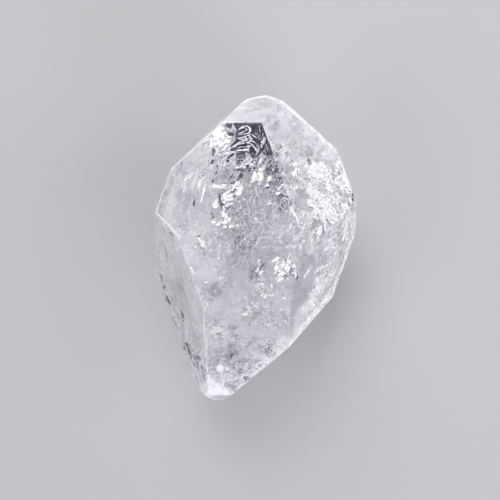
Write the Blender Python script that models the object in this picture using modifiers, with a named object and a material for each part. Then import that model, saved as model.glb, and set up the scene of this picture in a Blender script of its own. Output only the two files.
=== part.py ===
"""Fenster quartz: one clear crystal, grown with a point at both ends, lying on one of its faces.

The crystal is a block cleaved by the faces of ordinary quartz: six prism faces along the long
axis, six slanting faces round each end, and a small worn cap on the upper point. It lies on a
slanting face of the lower end, so the parallel face of the upper end looks straight up.
"""

import math

import bmesh
import bpy
from mathutils import Matrix, Vector

MM = 0.001

# The two faces that the crystal lies between
THICKNESS = 14.0 * MM

# Quartz: the length of its axis over its width, which sets the slope of the end faces
AXIAL_RATIO = 1.10013
END_SLOPE = 90 - math.degrees(math.atan(AXIAL_RATIO * 2 / math.sqrt(3)))

# Distance of each face from the middle of the crystal, by its bearing in degrees round the axis.
# Bearing 0 is the side that looks up when the crystal lies down, and 60 is to its right.
PRISM_REACH = {
    -120: 8.20 * MM,
    -60: 8.95 * MM,
    0: 9.15 * MM,
    60: 7.50 * MM,
    120: 10.10 * MM,
    180: 8.50 * MM,
}
UPPER_REACH = {
    -120: 11.65 * MM,
    -60: 10.20 * MM,
    0: THICKNESS / 2,
    60: 8.25 * MM,
    120: 12.80 * MM,
}
LOWER_REACH = {
    -120: 8.30 * MM,
    -60: 14.20 * MM,
    0: 14.40 * MM,
    60: 9.10 * MM,
    120: 8.00 * MM,
    180: THICKNESS / 2,
}

# The upper point is worn off by three small faces: bearing, slope above the waist, distance
WORN_CAP = (
    (40, 88.5, 13.90 * MM),
    (-160, 38.0, 13.35 * MM),
    (152, 36.0, 13.48 * MM),
)

# Wear along every edge
EDGE_WEAR = 0.12 * MM
EDGE_WEAR_STEPS = 2

# A block that holds the whole crystal before it is cleaved
BLOCK_SIDE = 60 * MM

# Below this a corner counts as lying on the cut
ON_CUT = 0.0001 * MM

QUARTZ_COLOUR = (0.78, 0.77, 0.84, 1.0)


def clear_scene():
    for obj in list(bpy.data.objects):
        bpy.data.objects.remove(obj, do_unlink=True)


def face_direction(bearing, slope):
    """The outward direction of a crystal face, with the long axis along Y and bearing 0 along Z."""
    around = math.radians(bearing)
    up = math.radians(slope)
    return Vector((
        math.cos(up) * math.sin(around),
        math.sin(up),
        math.cos(up) * math.cos(around),
    ))


def crystal_faces():
    """Every face as its outward direction and its distance from the middle."""
    faces = []
    for bearing, reach in PRISM_REACH.items():
        faces.append((face_direction(bearing, 0), reach))
    for bearing, reach in UPPER_REACH.items():
        faces.append((face_direction(bearing, END_SLOPE), reach))
    for bearing, reach in LOWER_REACH.items():
        faces.append((face_direction(bearing, -END_SLOPE), reach))
    for bearing, slope, reach in WORN_CAP:
        faces.append((face_direction(bearing, slope), reach))
    return faces


def cleave(bm, direction, reach):
    """Takes off all that lies beyond one crystal face and closes the cut."""
    cut = bmesh.ops.bisect_plane(
        bm,
        geom=bm.verts[:] + bm.edges[:] + bm.faces[:],
        dist=ON_CUT,
        plane_co=direction * reach,
        plane_no=direction,
        clear_outer=True,
    )
    rim = [piece for piece in cut["geom_cut"] if isinstance(piece, bmesh.types.BMEdge)]
    bmesh.ops.edgeloop_fill(bm, edges=rim)


def lay_down(bm):
    """Tips the crystal onto its resting face, with the origin below the middle of its outline."""
    tip = Matrix.Rotation(math.radians(END_SLOPE), 4, "X")
    bmesh.ops.transform(bm, matrix=tip, verts=bm.verts)
    across = [corner.co.x for corner in bm.verts]
    along = [corner.co.y for corner in bm.verts]
    middle = Vector((
        (min(across) + max(across)) / 2,
        (min(along) + max(along)) / 2,
        -THICKNESS / 2,
    ))
    bmesh.ops.translate(bm, vec=-middle, verts=bm.verts)


def crystal_mesh():
    bm = bmesh.new()
    bmesh.ops.create_cube(bm, size=BLOCK_SIDE)
    for direction, reach in crystal_faces():
        cleave(bm, direction, reach)
    lay_down(bm)
    bmesh.ops.recalc_face_normals(bm, faces=bm.faces)
    mesh = bpy.data.meshes.new("quartz_crystal")
    bm.to_mesh(mesh)
    bm.free()
    return mesh


def quartz_material():
    material = bpy.data.materials.new("clear_quartz")
    material.use_nodes = True
    shader = material.node_tree.nodes["Principled BSDF"]
    shader.inputs["Base Color"].default_value = QUARTZ_COLOUR
    shader.inputs["Roughness"].default_value = 0.08
    shader.inputs["Metallic"].default_value = 0.0
    shader.inputs["IOR"].default_value = 1.544
    shader.inputs["Transmission Weight"].default_value = 0.6
    material.diffuse_color = QUARTZ_COLOUR
    return material


def build():
    clear_scene()
    parts = bpy.data.collections.new("fenster_quartz")
    bpy.context.scene.collection.children.link(parts)
    mesh = crystal_mesh()
    mesh.materials.append(quartz_material())
    crystal = bpy.data.objects.new("quartz_crystal", mesh)
    parts.objects.link(crystal)
    wear = crystal.modifiers.new("edge_wear", "BEVEL")
    wear.width = EDGE_WEAR
    wear.segments = EDGE_WEAR_STEPS
    wear.limit_method = "ANGLE"
    wear.angle_limit = math.radians(5)


build()
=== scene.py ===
"""Looks of the fenster quartz: its clear worn skin and all that is sealed in it."""

import itertools
import math

import bpy
import numpy as np
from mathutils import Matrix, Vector


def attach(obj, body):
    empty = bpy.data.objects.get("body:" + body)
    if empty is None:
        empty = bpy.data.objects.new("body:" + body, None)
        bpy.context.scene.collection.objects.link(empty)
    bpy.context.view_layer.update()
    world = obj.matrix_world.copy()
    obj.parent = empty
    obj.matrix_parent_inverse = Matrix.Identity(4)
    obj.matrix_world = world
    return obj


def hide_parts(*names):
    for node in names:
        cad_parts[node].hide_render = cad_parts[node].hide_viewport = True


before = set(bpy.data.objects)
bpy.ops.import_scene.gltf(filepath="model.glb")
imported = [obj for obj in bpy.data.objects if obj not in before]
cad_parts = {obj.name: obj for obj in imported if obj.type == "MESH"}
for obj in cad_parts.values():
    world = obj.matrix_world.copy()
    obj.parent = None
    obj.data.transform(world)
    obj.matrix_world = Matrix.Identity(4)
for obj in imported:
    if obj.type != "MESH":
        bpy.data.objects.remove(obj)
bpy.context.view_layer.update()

MM = 0.001


# Camera, studio light and floor
# The crystal lies on a plain pale table and is seen from straight above. Four broad soft lamps
# stand round it in a pale room, the strongest of them past its upper point.

CAMERA_ABOVE_WAIST = 250 * MM
WAIST_HEIGHT = 7 * MM
FRAME_SPAN = 50 * MM
SENSOR = 36
CAMERA_ASIDE = -0.63 * MM
CAMERA_ALONG = 0.01 * MM

camera = bpy.data.objects.new("camera", bpy.data.cameras.new("camera"))
bpy.context.scene.collection.objects.link(camera)
camera.location = (CAMERA_ASIDE, CAMERA_ALONG, WAIST_HEIGHT + CAMERA_ABOVE_WAIST)
camera.data.sensor_width = SENSOR
camera.data.lens = SENSOR * CAMERA_ABOVE_WAIST / FRAME_SPAN
camera.data.clip_start = 10 * MM
camera.data.clip_end = 10
bpy.context.scene.camera = camera

# Name, place and width in metres, power and colour
LAMPS = (
    ("lamp_beyond_point", (-0.05, 0.24, 0.22), 0.20, 0.88, (1.0, 0.985, 0.985)),
    ("lamp_right", (0.26, 0.02, 0.16), 0.14, 0.30, (0.98, 0.98, 1.0)),
    ("lamp_left", (-0.24, -0.10, 0.20), 0.12, 0.20, (0.96, 0.97, 1.0)),
    ("lamp_near_root", (0.15, -0.22, 0.14), 0.16, 0.44, (0.985, 0.98, 1.0)),
)
for name, place, width, power, colour in LAMPS:
    lamp = bpy.data.lights.new(name, "AREA")
    lamp.size = width
    lamp.energy = power
    lamp.color = colour
    light = bpy.data.objects.new(name, lamp)
    bpy.context.scene.collection.objects.link(light)
    light.location = place
    aim = Vector((0, 0, WAIST_HEIGHT)) - light.location
    light.rotation_euler = aim.to_track_quat("-Z", "Y").to_euler()

room = bpy.data.worlds.new("room")
bpy.context.scene.world = room
room.use_nodes = True
room.node_tree.nodes["Background"].inputs["Color"].default_value = (0.955, 0.955, 1.0, 1)
room.node_tree.nodes["Background"].inputs["Strength"].default_value = 0.34
bpy.context.scene.view_settings.view_transform = "Standard"

FLOOR_REACH = 1.5
AIR_UNDER_CRYSTAL = 0.02 * MM

floor_mesh = bpy.data.meshes.new("floor")
floor_sides = ((-1, -1), (1, -1), (1, 1), (-1, 1))
floor_corners = [(x * FLOOR_REACH, y * FLOOR_REACH, -AIR_UNDER_CRYSTAL) for x, y in floor_sides]
floor_mesh.from_pydata(floor_corners, [], [(0, 1, 2, 3)])
floor = bpy.data.objects.new("floor", floor_mesh)
bpy.context.scene.collection.objects.link(floor)


def new_material(name):
    """A material with nodes, and its shader."""
    material = bpy.data.materials.new(name)
    material.use_nodes = True
    return material, material.node_tree.nodes["Principled BSDF"]


floor_paint, floor_shader = new_material("pale_table")
floor_shader.inputs["Base Color"].default_value = (0.44, 0.44, 0.45, 1)
floor_shader.inputs["Roughness"].default_value = 0.75
floor_mesh.materials.append(floor_paint)


# Skin
# The crystal's outside: quartz faces that grew flat, with worn edges, small shell-shaped chips
# and faint growth relief. It is clear quartz, matt and frosted in places, and all else is inside.
# Its frost also carries a painted bright rim and painted edge highlights, and its tint painted shade.

THICKNESS = 14.0
AXIAL_RATIO = 1.10013
END_SLOPE = 90 - math.degrees(math.atan(AXIAL_RATIO * 2 / math.sqrt(3)))

# Bearing round the long axis, slope above the waist, distance from the middle in millimetres,
# how matt the face has grown, and how white
FACES = (
    (-120, 0, 8.20, 0.25, 0.16),
    (-60, 0, 8.95, 0.22, 0.28),
    (0, 0, 9.15, 0.20, 0.13),
    (60, 0, 7.50, 0.22, 0.25),
    (120, 0, 10.10, 0.25, 0.20),
    (180, 0, 8.50, 0.25, 0.16),
    (-120, END_SLOPE, 11.65, 0.30, 0.30),
    (-60, END_SLOPE, 10.20, 0.20, 0.20),
    (0, END_SLOPE, THICKNESS / 2, 0.02, 0.10),
    (60, END_SLOPE, 8.25, 0.18, 0.28),
    (120, END_SLOPE, 12.80, 0.30, 0.30),
    (-120, -END_SLOPE, 8.30, 0.25, 0.16),
    (-60, -END_SLOPE, 14.20, 0.30, 0.25),
    (0, -END_SLOPE, 14.40, 0.30, 0.35),
    (60, -END_SLOPE, 9.10, 0.25, 0.20),
    (120, -END_SLOPE, 8.00, 0.25, 0.16),
    (180, -END_SLOPE, THICKNESS / 2, 0.25, 0.10),
    (40, 88.5, 13.90, 0.28, 0.27),
    (-160, 38.0, 13.35, 0.35, 0.50),
    (152, 36.0, 13.48, 0.35, 0.50),
)
table = np.array(FACES)


def face_named(bearing, slope):
    """Which row of FACES has this bearing and slope."""
    return int(np.argmax((table[:, 0] == bearing) & (table[:, 1] == slope)))


UPWARD = face_named(0, END_SLOPE)
RIGHT_UPPER = face_named(60, END_SLOPE)
LEFT_UPPER = face_named(-60, END_SLOPE)
POINT_TOP = face_named(40, 88.5)
LEFT_SIDE = face_named(-60, 0)
FRONT = face_named(0, 0)
RIGHT_SIDE = face_named(60, 0)


def face_directions(bearings, slopes):
    """Outward directions in the crystal as it lies: the long axis tips up by END_SLOPE from Y.

    Upright, a direction is (cos slope sin bearing, sin slope, cos slope cos bearing), and the
    tip turns the last two of these about X.
    """
    around = np.radians(bearings)
    up = np.radians(slopes)
    tip = math.radians(END_SLOPE)
    along = np.sin(up)
    front = np.cos(up) * np.cos(around)
    return np.stack(
        [
            np.cos(up) * np.sin(around),
            along * math.cos(tip) - front * math.sin(tip),
            along * math.sin(tip) + front * math.cos(tip),
        ],
        axis=-1,
    )


DIRECTIONS = face_directions(table[:, 0], table[:, 1])
REACHES = table[:, 2]
MATTNESS = table[:, 3]
WHITENESS = table[:, 4]
UP = np.array([0.0, 0.0, 1.0])
# Faces that stand upright or turn to the table, which make the crystal's outline
DOWN_TURNED = DIRECTIONS[:, 2] < 0.1


def polyhedron_corners():
    """Where three faces' planes meet, kept if that point lies within all the other faces."""
    trios = np.array(list(itertools.combinations(range(len(REACHES)), 3)))
    planes = DIRECTIONS[trios]
    crossing = np.abs(np.linalg.det(planes)) > 1e-4
    meets = np.linalg.solve(planes[crossing], REACHES[trios[crossing]][..., None])[..., 0]
    within = (meets @ DIRECTIONS.T <= REACHES + 1e-6).all(axis=1)
    return np.unique(np.round(meets[within], 5), axis=0)


CORNERS = polyhedron_corners()
MIDDLE = (CORNERS.max(axis=0) + CORNERS.min(axis=0)) / 2
# Added to a place measured from the crystal's middle, gives that place in the frame
TO_FRAME = np.array([-MIDDLE[0], -MIDDLE[1], THICKNESS / 2])


def waves(points, size, seed, count=28):
    """Smooth random relief: a sum of cosines of wavelength about size in random directions."""
    rng = np.random.default_rng(seed)
    heading = rng.normal(size=(count, 3))
    heading /= np.linalg.norm(heading, axis=1, keepdims=True)
    number = 2 * np.pi / (size * rng.uniform(0.7, 1.6, count))
    phase = rng.uniform(0, 2 * np.pi, count)
    return np.cos(points @ (heading * number[:, None]).T + phase).sum(axis=1) / math.sqrt(count / 2)


def face_patch(direction, reach, step):
    """A face as a fan of rings: centre + share x (rim point - centre), closer near the rim.

    The rim runs evenly along each edge between two corners, so neighbours share its points.
    """
    ring = CORNERS[np.abs(CORNERS @ direction - reach) < 1e-3]
    centre = ring.mean(axis=0)
    first = ring[0] - centre
    second = np.cross(direction, first)
    turn = np.arctan2((ring - centre) @ second / np.linalg.norm(second),
                      (ring - centre) @ first / np.linalg.norm(first))
    ring = ring[np.argsort(turn)]
    following = np.roll(ring, -1, axis=0)
    rim = []
    for start, end in zip(ring, following):
        pieces = max(1, math.ceil(np.linalg.norm(end - start) / step))
        share = np.arange(pieces)[:, None] / pieces
        rim.append(start + share * (end - start))
    rim = np.concatenate(rim)
    rings = max(2, math.ceil(np.linalg.norm(rim - centre, axis=1).mean() / step))
    share = 1 - (1 - np.arange(1, rings + 1) / rings) ** 1.5
    net = centre + share[:, None, None] * (rim - centre)
    points = np.concatenate([centre[None], net.reshape(-1, 3)])
    around = len(rim)
    spot = np.arange(rings * around).reshape(rings, around) + 1
    beside = np.roll(spot, -1, axis=1)
    inner = np.stack([spot[:-1], spot[1:], beside[1:], beside[:-1]], axis=-1).reshape(-1, 4)
    fan = np.stack([np.zeros(around, int), spot[0], beside[0], beside[0]], axis=-1)
    return points, np.concatenate([fan, inner])


def slack(points):
    """How far each point lies inside every face, one column for a face."""
    return REACHES - points @ DIRECTIONS.T


# The power p of the norm that rounds the edges, and of the one for the blunt fold
EDGE_SHARPNESS = 150.0
FOLD_SHARPNESS = 55.0

# Shell-shaped chips: middle of the bite across, along and above the middle, and its radius
CHIPS = (
    (9.95, 4.05, 0.8, 0.50),
    (9.75, 5.9, 1.2, 0.42),
    (3.0, 14.6, 4.0, 0.32),
    (-9.6, -3.4, -1.4, 0.42),
    (-8.9, -6.1, -1.3, 0.40),
    (-8.3, -7.6, -1.3, 0.34),
    (-7.6, -9.7, -1.3, 0.36),
    (-6.7, -12.2, -1.2, 0.40),
    (-3.3, -15.2, -2.8, 0.75),
    (-1.6, 15.2, 3.8, 0.55),
    (8.9, -2.9, -2.0, 0.45),
)


def worn_surface(points):
    """Carries points of the sharp crystal onto the worn one, along lines from the middle.

    The radius in a direction is the p-norm of all faces, (sum (n.q / d)^p)^(-1/p), which rounds
    the edges. p falls where the upward face folds into the front one, which is too blunt to
    show. A chip is a ball, and a line that meets it ends where it enters the ball.
    """
    along = points / np.linalg.norm(points, axis=1, keepdims=True)
    nearness = np.clip(along @ DIRECTIONS.T / REACHES, 0, None)
    fold = slack(points)[:, [UPWARD, FRONT]].max(axis=1)
    power = EDGE_SHARPNESS - (EDGE_SHARPNESS - FOLD_SHARPNESS) * np.exp(-((fold / 0.8) ** 2))
    radius = (nearness ** power[:, None]).sum(axis=1) ** (-1 / power)
    for across, forward, above, size in CHIPS:
        ball = np.array([across, forward, above])
        middle = along @ ball
        inside = middle**2 - ball @ ball + size**2
        entry = middle - np.sqrt(np.clip(inside, 0, None))
        bitten = (middle > 0) & (inside > 0) & (entry < radius)
        radius = np.where(bitten, entry, radius)
    return along * radius[:, None]


# The camera's place, from the crystal's middle
EYE = np.array([CAMERA_ASIDE, CAMERA_ALONG, CAMERA_ABOVE_WAIST]) / MM - TO_FRAME * (1, 1, 0)


def waist_places(points):
    """Where the camera sees points on the waist, across and along in the frame."""
    share = EYE[2] / (EYE[2] - points[..., 2])
    seen = EYE + share[..., None] * (points - EYE) + TO_FRAME
    return seen[..., 0], seen[..., 1]


def inside_outline(across, along, outline):
    """Distance to the nearest side of a polygon, positive inside it and negative outside."""
    start = np.array(outline)
    end = np.roll(start, -1, axis=0)
    place = np.stack([across, along], axis=-1)[..., None, :]
    side = end - start
    share = np.clip(((place - start) * side).sum(-1) / (side**2).sum(-1), 0, 1)
    distance = np.linalg.norm(place - start - share[..., None] * side, axis=-1).min(axis=-1)
    crosses = (start[:, 1] > place[..., 1]) != (end[:, 1] > place[..., 1])
    reaches = start[:, 0] + (place[..., 1] - start[:, 1]) * side[:, 0] / (side[:, 1] + 1e-9)
    odd = (crosses & (place[..., 0] < reaches)).sum(axis=-1) % 2 == 1
    return np.where(odd, distance, -distance)


# Outline, as the camera sees it, of the broken ground along the right of the crystal
BROKEN_GROUND = (
    (5.3, 8.3), (6.3, 8.9), (7.4, 9.2), (8.7, 9.1), (9.3, 7.4), (9.8, 6.0), (9.9, 4.0), (9.85, 1.5),
    (9.5, 0.0), (9.0, -1.9), (8.3, -3.9), (6.8, -5.7), (5.4, -7.3), (4.2, -8.7), (4.1, -7.6), (4.7, -6.8),
    (4.6, -5.6), (5.3, -5.5), (5.4, -4.6), (5.9, -3.8), (6.0, -2.8), (6.7, -2.4), (7.0, -1.0), (6.8, 0.4),
    (6.9, 1.6), (6.7, 2.9), (5.7, 3.4), (5.6, 4.2), (5.0, 4.6), (4.9, 5.5), (5.3, 6.6),
)
# How far the plain skin and the broken ground lie within the crystal's sharp faces
RECESS = 0.016
BROKEN_RECESS = 0.10
TERRACE_HEIGHT = 0.008
FINE_HEIGHT = 0.0025
# Distance from a face's rim over which its relief fades
RELIEF_FADE = 0.25


def broken_share(points):
    """0 on the plain skin to 1 on the broken ground, over half a millimetre."""
    across, along = waist_places(points)
    return np.clip(inside_outline(across, along, BROKEN_GROUND) / 0.5, 0, 1)


def growth_relief(points, own_face):
    """Height of the relief on one face: waves, and terraces where slow waves pass a level.

    It fades to nothing at the face's rim, by the distance to the nearest other face. The skin
    of the broken ground lies lower, and the broken crust fills that hollow.
    """
    others = np.delete(slack(points), own_face, axis=1)
    fade = np.clip(others.min(axis=1) / RELIEF_FADE, 0, 1)
    slow = waves(points, 5.0, 40 + own_face)
    terrace = np.tanh(6 * np.sin(2.4 * slow)) * TERRACE_HEIGHT
    fine = waves(points, 0.9, 70 + own_face) * FINE_HEIGHT
    recess = RECESS
    if own_face in (RIGHT_UPPER, RIGHT_SIDE):
        recess = RECESS + BROKEN_RECESS * broken_share(points)
    return -(fade**2) * (recess + np.abs(terrace + TERRACE_HEIGHT) + np.abs(fine))


# Pale lines, partly worn edges and partly painted edge highlights: the face that carries the
# line, the face that it runs along, strength and width
PALE_EDGES_AND_HIGHLIGHTS = (
    (POINT_TOP, UPWARD, 0.35, 0.05),
    (RIGHT_UPPER, UPWARD, 0.26, 0.07),
    (LEFT_UPPER, UPWARD, 0.15, 0.05),
    (UPWARD, LEFT_SIDE, 0.40, 0.18),
    (UPWARD, RIGHT_SIDE, 0.12, 0.30),
    (LEFT_SIDE, UPWARD, 0.30, 0.05),
    (LEFT_SIDE, LEFT_UPPER, 0.90, 0.07),
    (LEFT_UPPER, LEFT_SIDE, 0.80, 0.08),
    (LEFT_SIDE, FRONT, 0.70, 0.06),
    (FRONT, LEFT_SIDE, 0.80, 0.10),
    (FRONT, RIGHT_SIDE, 0.45, 0.10),
    (RIGHT_UPPER, RIGHT_SIDE, 0.15, 0.05),
)
# Outline, as the camera sees it, of the white patch at the root
WHITE_ROOT = ((-4.85, -12.1), (-4.4, -12.9), (-3.9, -13.3), (-3.2, -13.5), (-2.5, -14.5), (-4.85, -14.5))
# Middle and reach of the polished oval on the upward face, across and along
POLISHED = (-0.6, 7.3, 4.2, 6.3)


def out_of_polish(points):
    """Distance from the middle of the polished oval, 1 on its rim."""
    return np.hypot((points[:, 0] - POLISHED[0]) / POLISHED[2], (points[:, 1] - POLISHED[1]) / POLISHED[3])


def past_polish(points, own_face):
    """0 well inside the polished oval to 1 outside its rim, and 1 all over the other faces."""
    if own_face != UPWARD:
        return np.ones(len(points))
    return np.clip((out_of_polish(points) - 0.7) / 0.5, 0, 1)


def soft_inside(across, along, outline, softness):
    """0 outside a polygon to 1 inside it, over a strip this wide astride its sides."""
    return np.clip(0.5 + inside_outline(across, along, outline) / softness, 0, 1)


def frosting_and_edge_light(points, own_face):
    """How far the skin is frosted white, from 0 to 1: worn frost, and a line along each edge.

    The line falls off from the edge as the bell curve of the distance to the next face, and is
    broken by waves. It is strong where one of its two faces turns to the table, and widest on
    the right, low down and by the point. The line is partly worn frost and partly painted light:
    a painted bright rim along the outline and painted highlights along the other edges. Between
    the lines a face has its own whiteness, in clouds, and all of them whiten at the root. The
    broken ground low on the right is whiter too.
    """
    sine = np.sqrt(np.clip(1 - (DIRECTIONS @ DIRECTIONS[own_face]) ** 2, 0.02, 1))
    gap = slack(points) / sine
    gap[:, own_face] = 99
    # Along the outline the line is a painted bright rim as well as worn frost
    outline = DOWN_TURNED | DOWN_TURNED[own_face]
    right = np.clip((points[:, 0] + 2) / 4, 0, 1)
    spread = 0.50 * np.clip((6 - points[:, 1]) / 7, 0, 1) + 0.30 * np.clip((points[:, 1] - 6) / 4, 0, 1)
    width = np.where(outline, (0.20 + right * spread)[:, None], 0.05)
    strength = np.where(outline, 1.0, 0.0)
    for carrier, neighbour, amount, reach in PALE_EDGES_AND_HIGHLIGHTS:
        if own_face == carrier:
            strength[neighbour] = amount
            width[:, neighbour] = reach
    line = (strength * np.exp(-((gap / width) ** 2))).max(axis=1)
    line = line * np.clip(0.85 + 0.35 * waves(points, 0.9, 24), 0.2, 1)
    root = 0.25 * np.clip((-11.5 - points[:, 1]) / 3, 0, 1)
    cloud = WHITENESS[own_face] * (1 + 0.35 * waves(points, 2.6, 27) + 0.22 * waves(points, 0.8, 28))
    cloud = cloud * past_polish(points, own_face)
    across, along = waist_places(points)
    patch = 0.95 * soft_inside(across, along, WHITE_ROOT, 0.2)
    if own_face == RIGHT_SIDE:
        cloud = cloud + 0.22 * broken_share(points)
    return np.clip(np.maximum(np.maximum(line, patch), cloud + root), 0, 1)


# Outline, as the camera sees it, of the smooth grey band down the right side: painted shade
GREY_SHADE_BAND = (
    (4.85, -0.60), (4.60, -1.35), (4.20, -2.30), (3.82, -3.50), (3.52, -4.85), (3.37, -5.90), (3.33, -7.35),
    (3.37, -8.80), (3.60, -8.80), (3.80, -6.75), (4.45, -5.50), (5.10, -5.00), (5.40, -4.20), (5.75, -2.80),
    (6.15, -1.20), (5.60, -0.40),
)
# Strength, softness in millimetres and outline of the painted shade: that band, the grey strip
# under the white patch at the root, and dull smudges
SHADED = (
    (0.52, 0.30, GREY_SHADE_BAND),
    (0.35, 0.20, ((-4.70, -14.58), (-1.80, -14.58), (-2.40, -14.95), (-4.30, -14.95))),
    (0.55, 0.40, (
        (-0.65, -2.90), (0.10, -3.10), (1.00, -1.70), (0.95, -1.00), (0.35, -1.10), (-0.55, -2.10))),
    (0.24, 1.10, ((-5.40, -3.20), (-4.00, -3.10), (-3.40, -4.30), (-4.40, -5.00), (-5.40, -4.60))),
    (0.12, 1.20, ((-8.50, 8.80), (-6.40, 9.60), (-5.20, 7.20), (-5.60, 4.60), (-8.20, 4.40))),
    (0.20, 3.00, ((-4.50, 3.50), (3.00, 3.50), (2.60, -4.50), (-3.60, -5.00))),
    (0.24, 0.50, (
        (0.30, 13.60), (1.87, 13.50), (2.70, 12.50), (3.20, 11.20), (2.00, 10.60), (0.70, 12.60))),
    (0.22, 0.12, ((0.10, 13.62), (1.90, 13.50), (2.20, 13.10), (1.75, 13.32), (0.30, 13.44))),
    (0.14, 1.50, ((-1.40, 7.80), (2.20, 8.00), (3.00, 4.50), (0.50, 3.50), (-1.40, 4.50))),
    (0.20, 0.90, (
        (-2.80, 2.00), (-1.40, 2.10), (-0.60, 1.00), (-0.90, -0.40), (-2.10, -0.60), (-2.60, 0.60))),
)
# Middle and reach of areas of soft dark spots, painted shade that makes the skin look dimpled
# and streaked, size of a spot, how far drawn out, and strength
SOFT_SPOTS = (
    (-1.2, -12.4, 2.6, 1.9, 0.75, 1.0, 0.80),
    (-1.8, -8.8, 3.6, 3.4, 1.90, 1.0, 0.50),
    (-2.6, -10.6, 1.6, 0.9, 0.70, 0.7, 0.90),
    (1.1, -9.9, 1.0, 1.1, 0.70, 1.2, 0.70),
    (-5.9, -11.6, 1.1, 2.4, 0.60, 3.0, 0.60),
    (-7.6, -6.6, 1.3, 4.6, 0.80, 3.5, 0.40),
    (-8.9, 0.4, 1.0, 2.6, 0.80, 3.0, 0.30),
    (-2.3, -8.2, 1.6, 1.2, 0.80, 0.8, 0.50),
    (-3.9, -3.9, 1.1, 1.0, 1.10, 1.0, 0.12),
    (-8.2, 6.2, 1.2, 2.2, 0.90, 1.8, 0.35),
    (5.2, 8.8, 2.6, 2.4, 0.90, 1.0, 0.28),
    (7.6, 4.2, 2.2, 4.4, 0.80, 1.6, 0.60),
    (7.4, -2.6, 1.6, 3.4, 0.70, 3.5, 0.40),
    (2.2, 12.2, 2.6, 1.8, 1.00, 1.0, 0.35),
    (-1.0, 14.0, 2.0, 0.9, 1.20, 0.6, 0.30),
)


def bell(across, along, middle, forward, wide, long):
    """exp(-r^2), where r is the distance from an oval's middle, 1 at its reach."""
    return np.exp(-(((across - middle) / wide) ** 2 + ((along - forward) / long) ** 2))


def shading(points, own_face):
    """How much painted shade darkens the skin's tint, from 0 to 1: shaded outlines, and spots.

    A spot lies where waves pass a level, and it fades from its area's middle by the bell curve.
    """
    across, along = waist_places(points)
    shade = 0.04 * np.clip(1 + waves(points, 2.2, 29), 0, 2)
    for order, (*area, size, drawn, strength) in enumerate(SOFT_SPOTS):
        spots = np.clip(waves(points / (1, drawn, 1), size, 130 + order) - 0.2, 0, 1.2)
        shade = shade + strength * bell(across, along, *area) * spots
    shade = shade * past_polish(points, own_face)
    for strength, softness, outline in SHADED:
        shade = shade + strength * soft_inside(across, along, outline, softness)
    return np.clip(shade, 0, 1)


# Middle, reach and strength of the areas where the skin is mottled, across and along the frame
MOTTLED = (
    (-2.5, -13.0, 3.5, 2.6, 1.0),
    (0.5, -10.0, 3.0, 2.6, 0.7),
    (-6.5, -10.0, 1.6, 4.0, 0.7),
    (-9.0, -4.0, 0.9, 3.5, 0.7),
    (6.0, 8.5, 3.6, 3.4, 0.6),
    (7.5, 2.5, 2.8, 5.0, 0.9),
    (7.0, -3.5, 2.6, 4.5, 1.0),
    (2.6, -2.0, 1.8, 1.8, 0.5),
    (-5.5, 0.5, 0.9, 1.2, 0.4),
    (-0.6, 14.2, 2.4, 1.0, 0.5),
    (-7.0, 6.5, 1.5, 2.5, 0.5),
)


def mottling(points, own_face):
    """How strongly the skin is mottled, from 0 to 1: the greatest of the areas' bell curves.

    The grey band and the white patch at the root stay smooth.
    """
    across, along = waist_places(points)
    amount = np.full(len(points), 0.10 if own_face == UPWARD else 0.30)
    for *area, strength in MOTTLED:
        amount = np.maximum(amount, strength * bell(across, along, *area))
    for outline in (GREY_SHADE_BAND, WHITE_ROOT):
        amount = amount * (1 - soft_inside(across, along, outline, 0.4))
    return amount * past_polish(points, own_face)


def mattness(points, own_face):
    """Roughness of the skin: the face's own, in soft clouds.

    The upward face is polished clear in an oval by the point and grows matt outside it.
    """
    matt = MATTNESS[own_face] * (1 + 0.18 * waves(points, 2.5, 25))
    if own_face == UPWARD:
        dull = np.clip(0.8 + 0.35 * waves(points, 2.0, 26), 0.2, 1.3)
        matt = matt + 0.24 * dull * np.clip((out_of_polish(points) - 0.8) / 0.5, 0, 1)
    return np.clip(matt, 0.02, 0.5)


def mesh_piece(name, points, faces, material, smooth=True):
    """Puts points, in millimetres from the crystal's middle, and triangles into a new piece."""
    mesh = bpy.data.meshes.new(name)
    mesh.vertices.add(len(points))
    mesh.vertices.foreach_set("co", ((points + TO_FRAME) * MM).astype(np.float32).ravel())
    mesh.loops.add(faces.size)
    mesh.loops.foreach_set("vertex_index", faces.astype(np.int32).ravel())
    mesh.polygons.add(len(faces))
    mesh.polygons.foreach_set("loop_start", np.arange(0, faces.size, 3, dtype=np.int32))
    mesh.polygons.foreach_set("use_smooth", np.full(len(faces), smooth))
    mesh.update(calc_edges=True)
    mesh.validate()
    mesh.materials.append(material)
    piece = bpy.data.objects.new(name, mesh)
    bpy.context.scene.collection.objects.link(piece)
    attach(piece, "root")
    return piece


def quads_as_triangles(quads):
    """Two triangles for each four corners, and one where the last two corners are the same."""
    first = quads[:, :3]
    second = quads[quads[:, 2] != quads[:, 3]][:, [0, 2, 3]]
    return np.concatenate([first, second])


def weld(points, faces):
    """One point for all that round to the same place, without the faces that this folds up.

    Two faces that come to lie back to back both go, and so do points that no face uses. The
    last result is each kept point's former number.
    """
    kept, index = np.unique(np.round(points, 4), axis=0, return_index=True, return_inverse=True)[1:]
    faces = index.reshape(-1)[faces]
    first, second, third = faces.T
    faces = faces[(first != second) & (second != third) & (third != first)]
    corners = np.sort(faces, axis=1)
    alike, times = np.unique(corners, axis=0, return_inverse=True, return_counts=True)[1:]
    faces = faces[times[alike.reshape(-1)] == 1]
    used, faces = np.unique(faces, return_inverse=True)
    kept = kept[used]
    return points[kept], faces.reshape(-1, 3), kept


QUARTZ_IOR = 1.544
# Number of noise waves in a metre for the skin's finest grain
GRAIN_SCALE = 900


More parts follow.
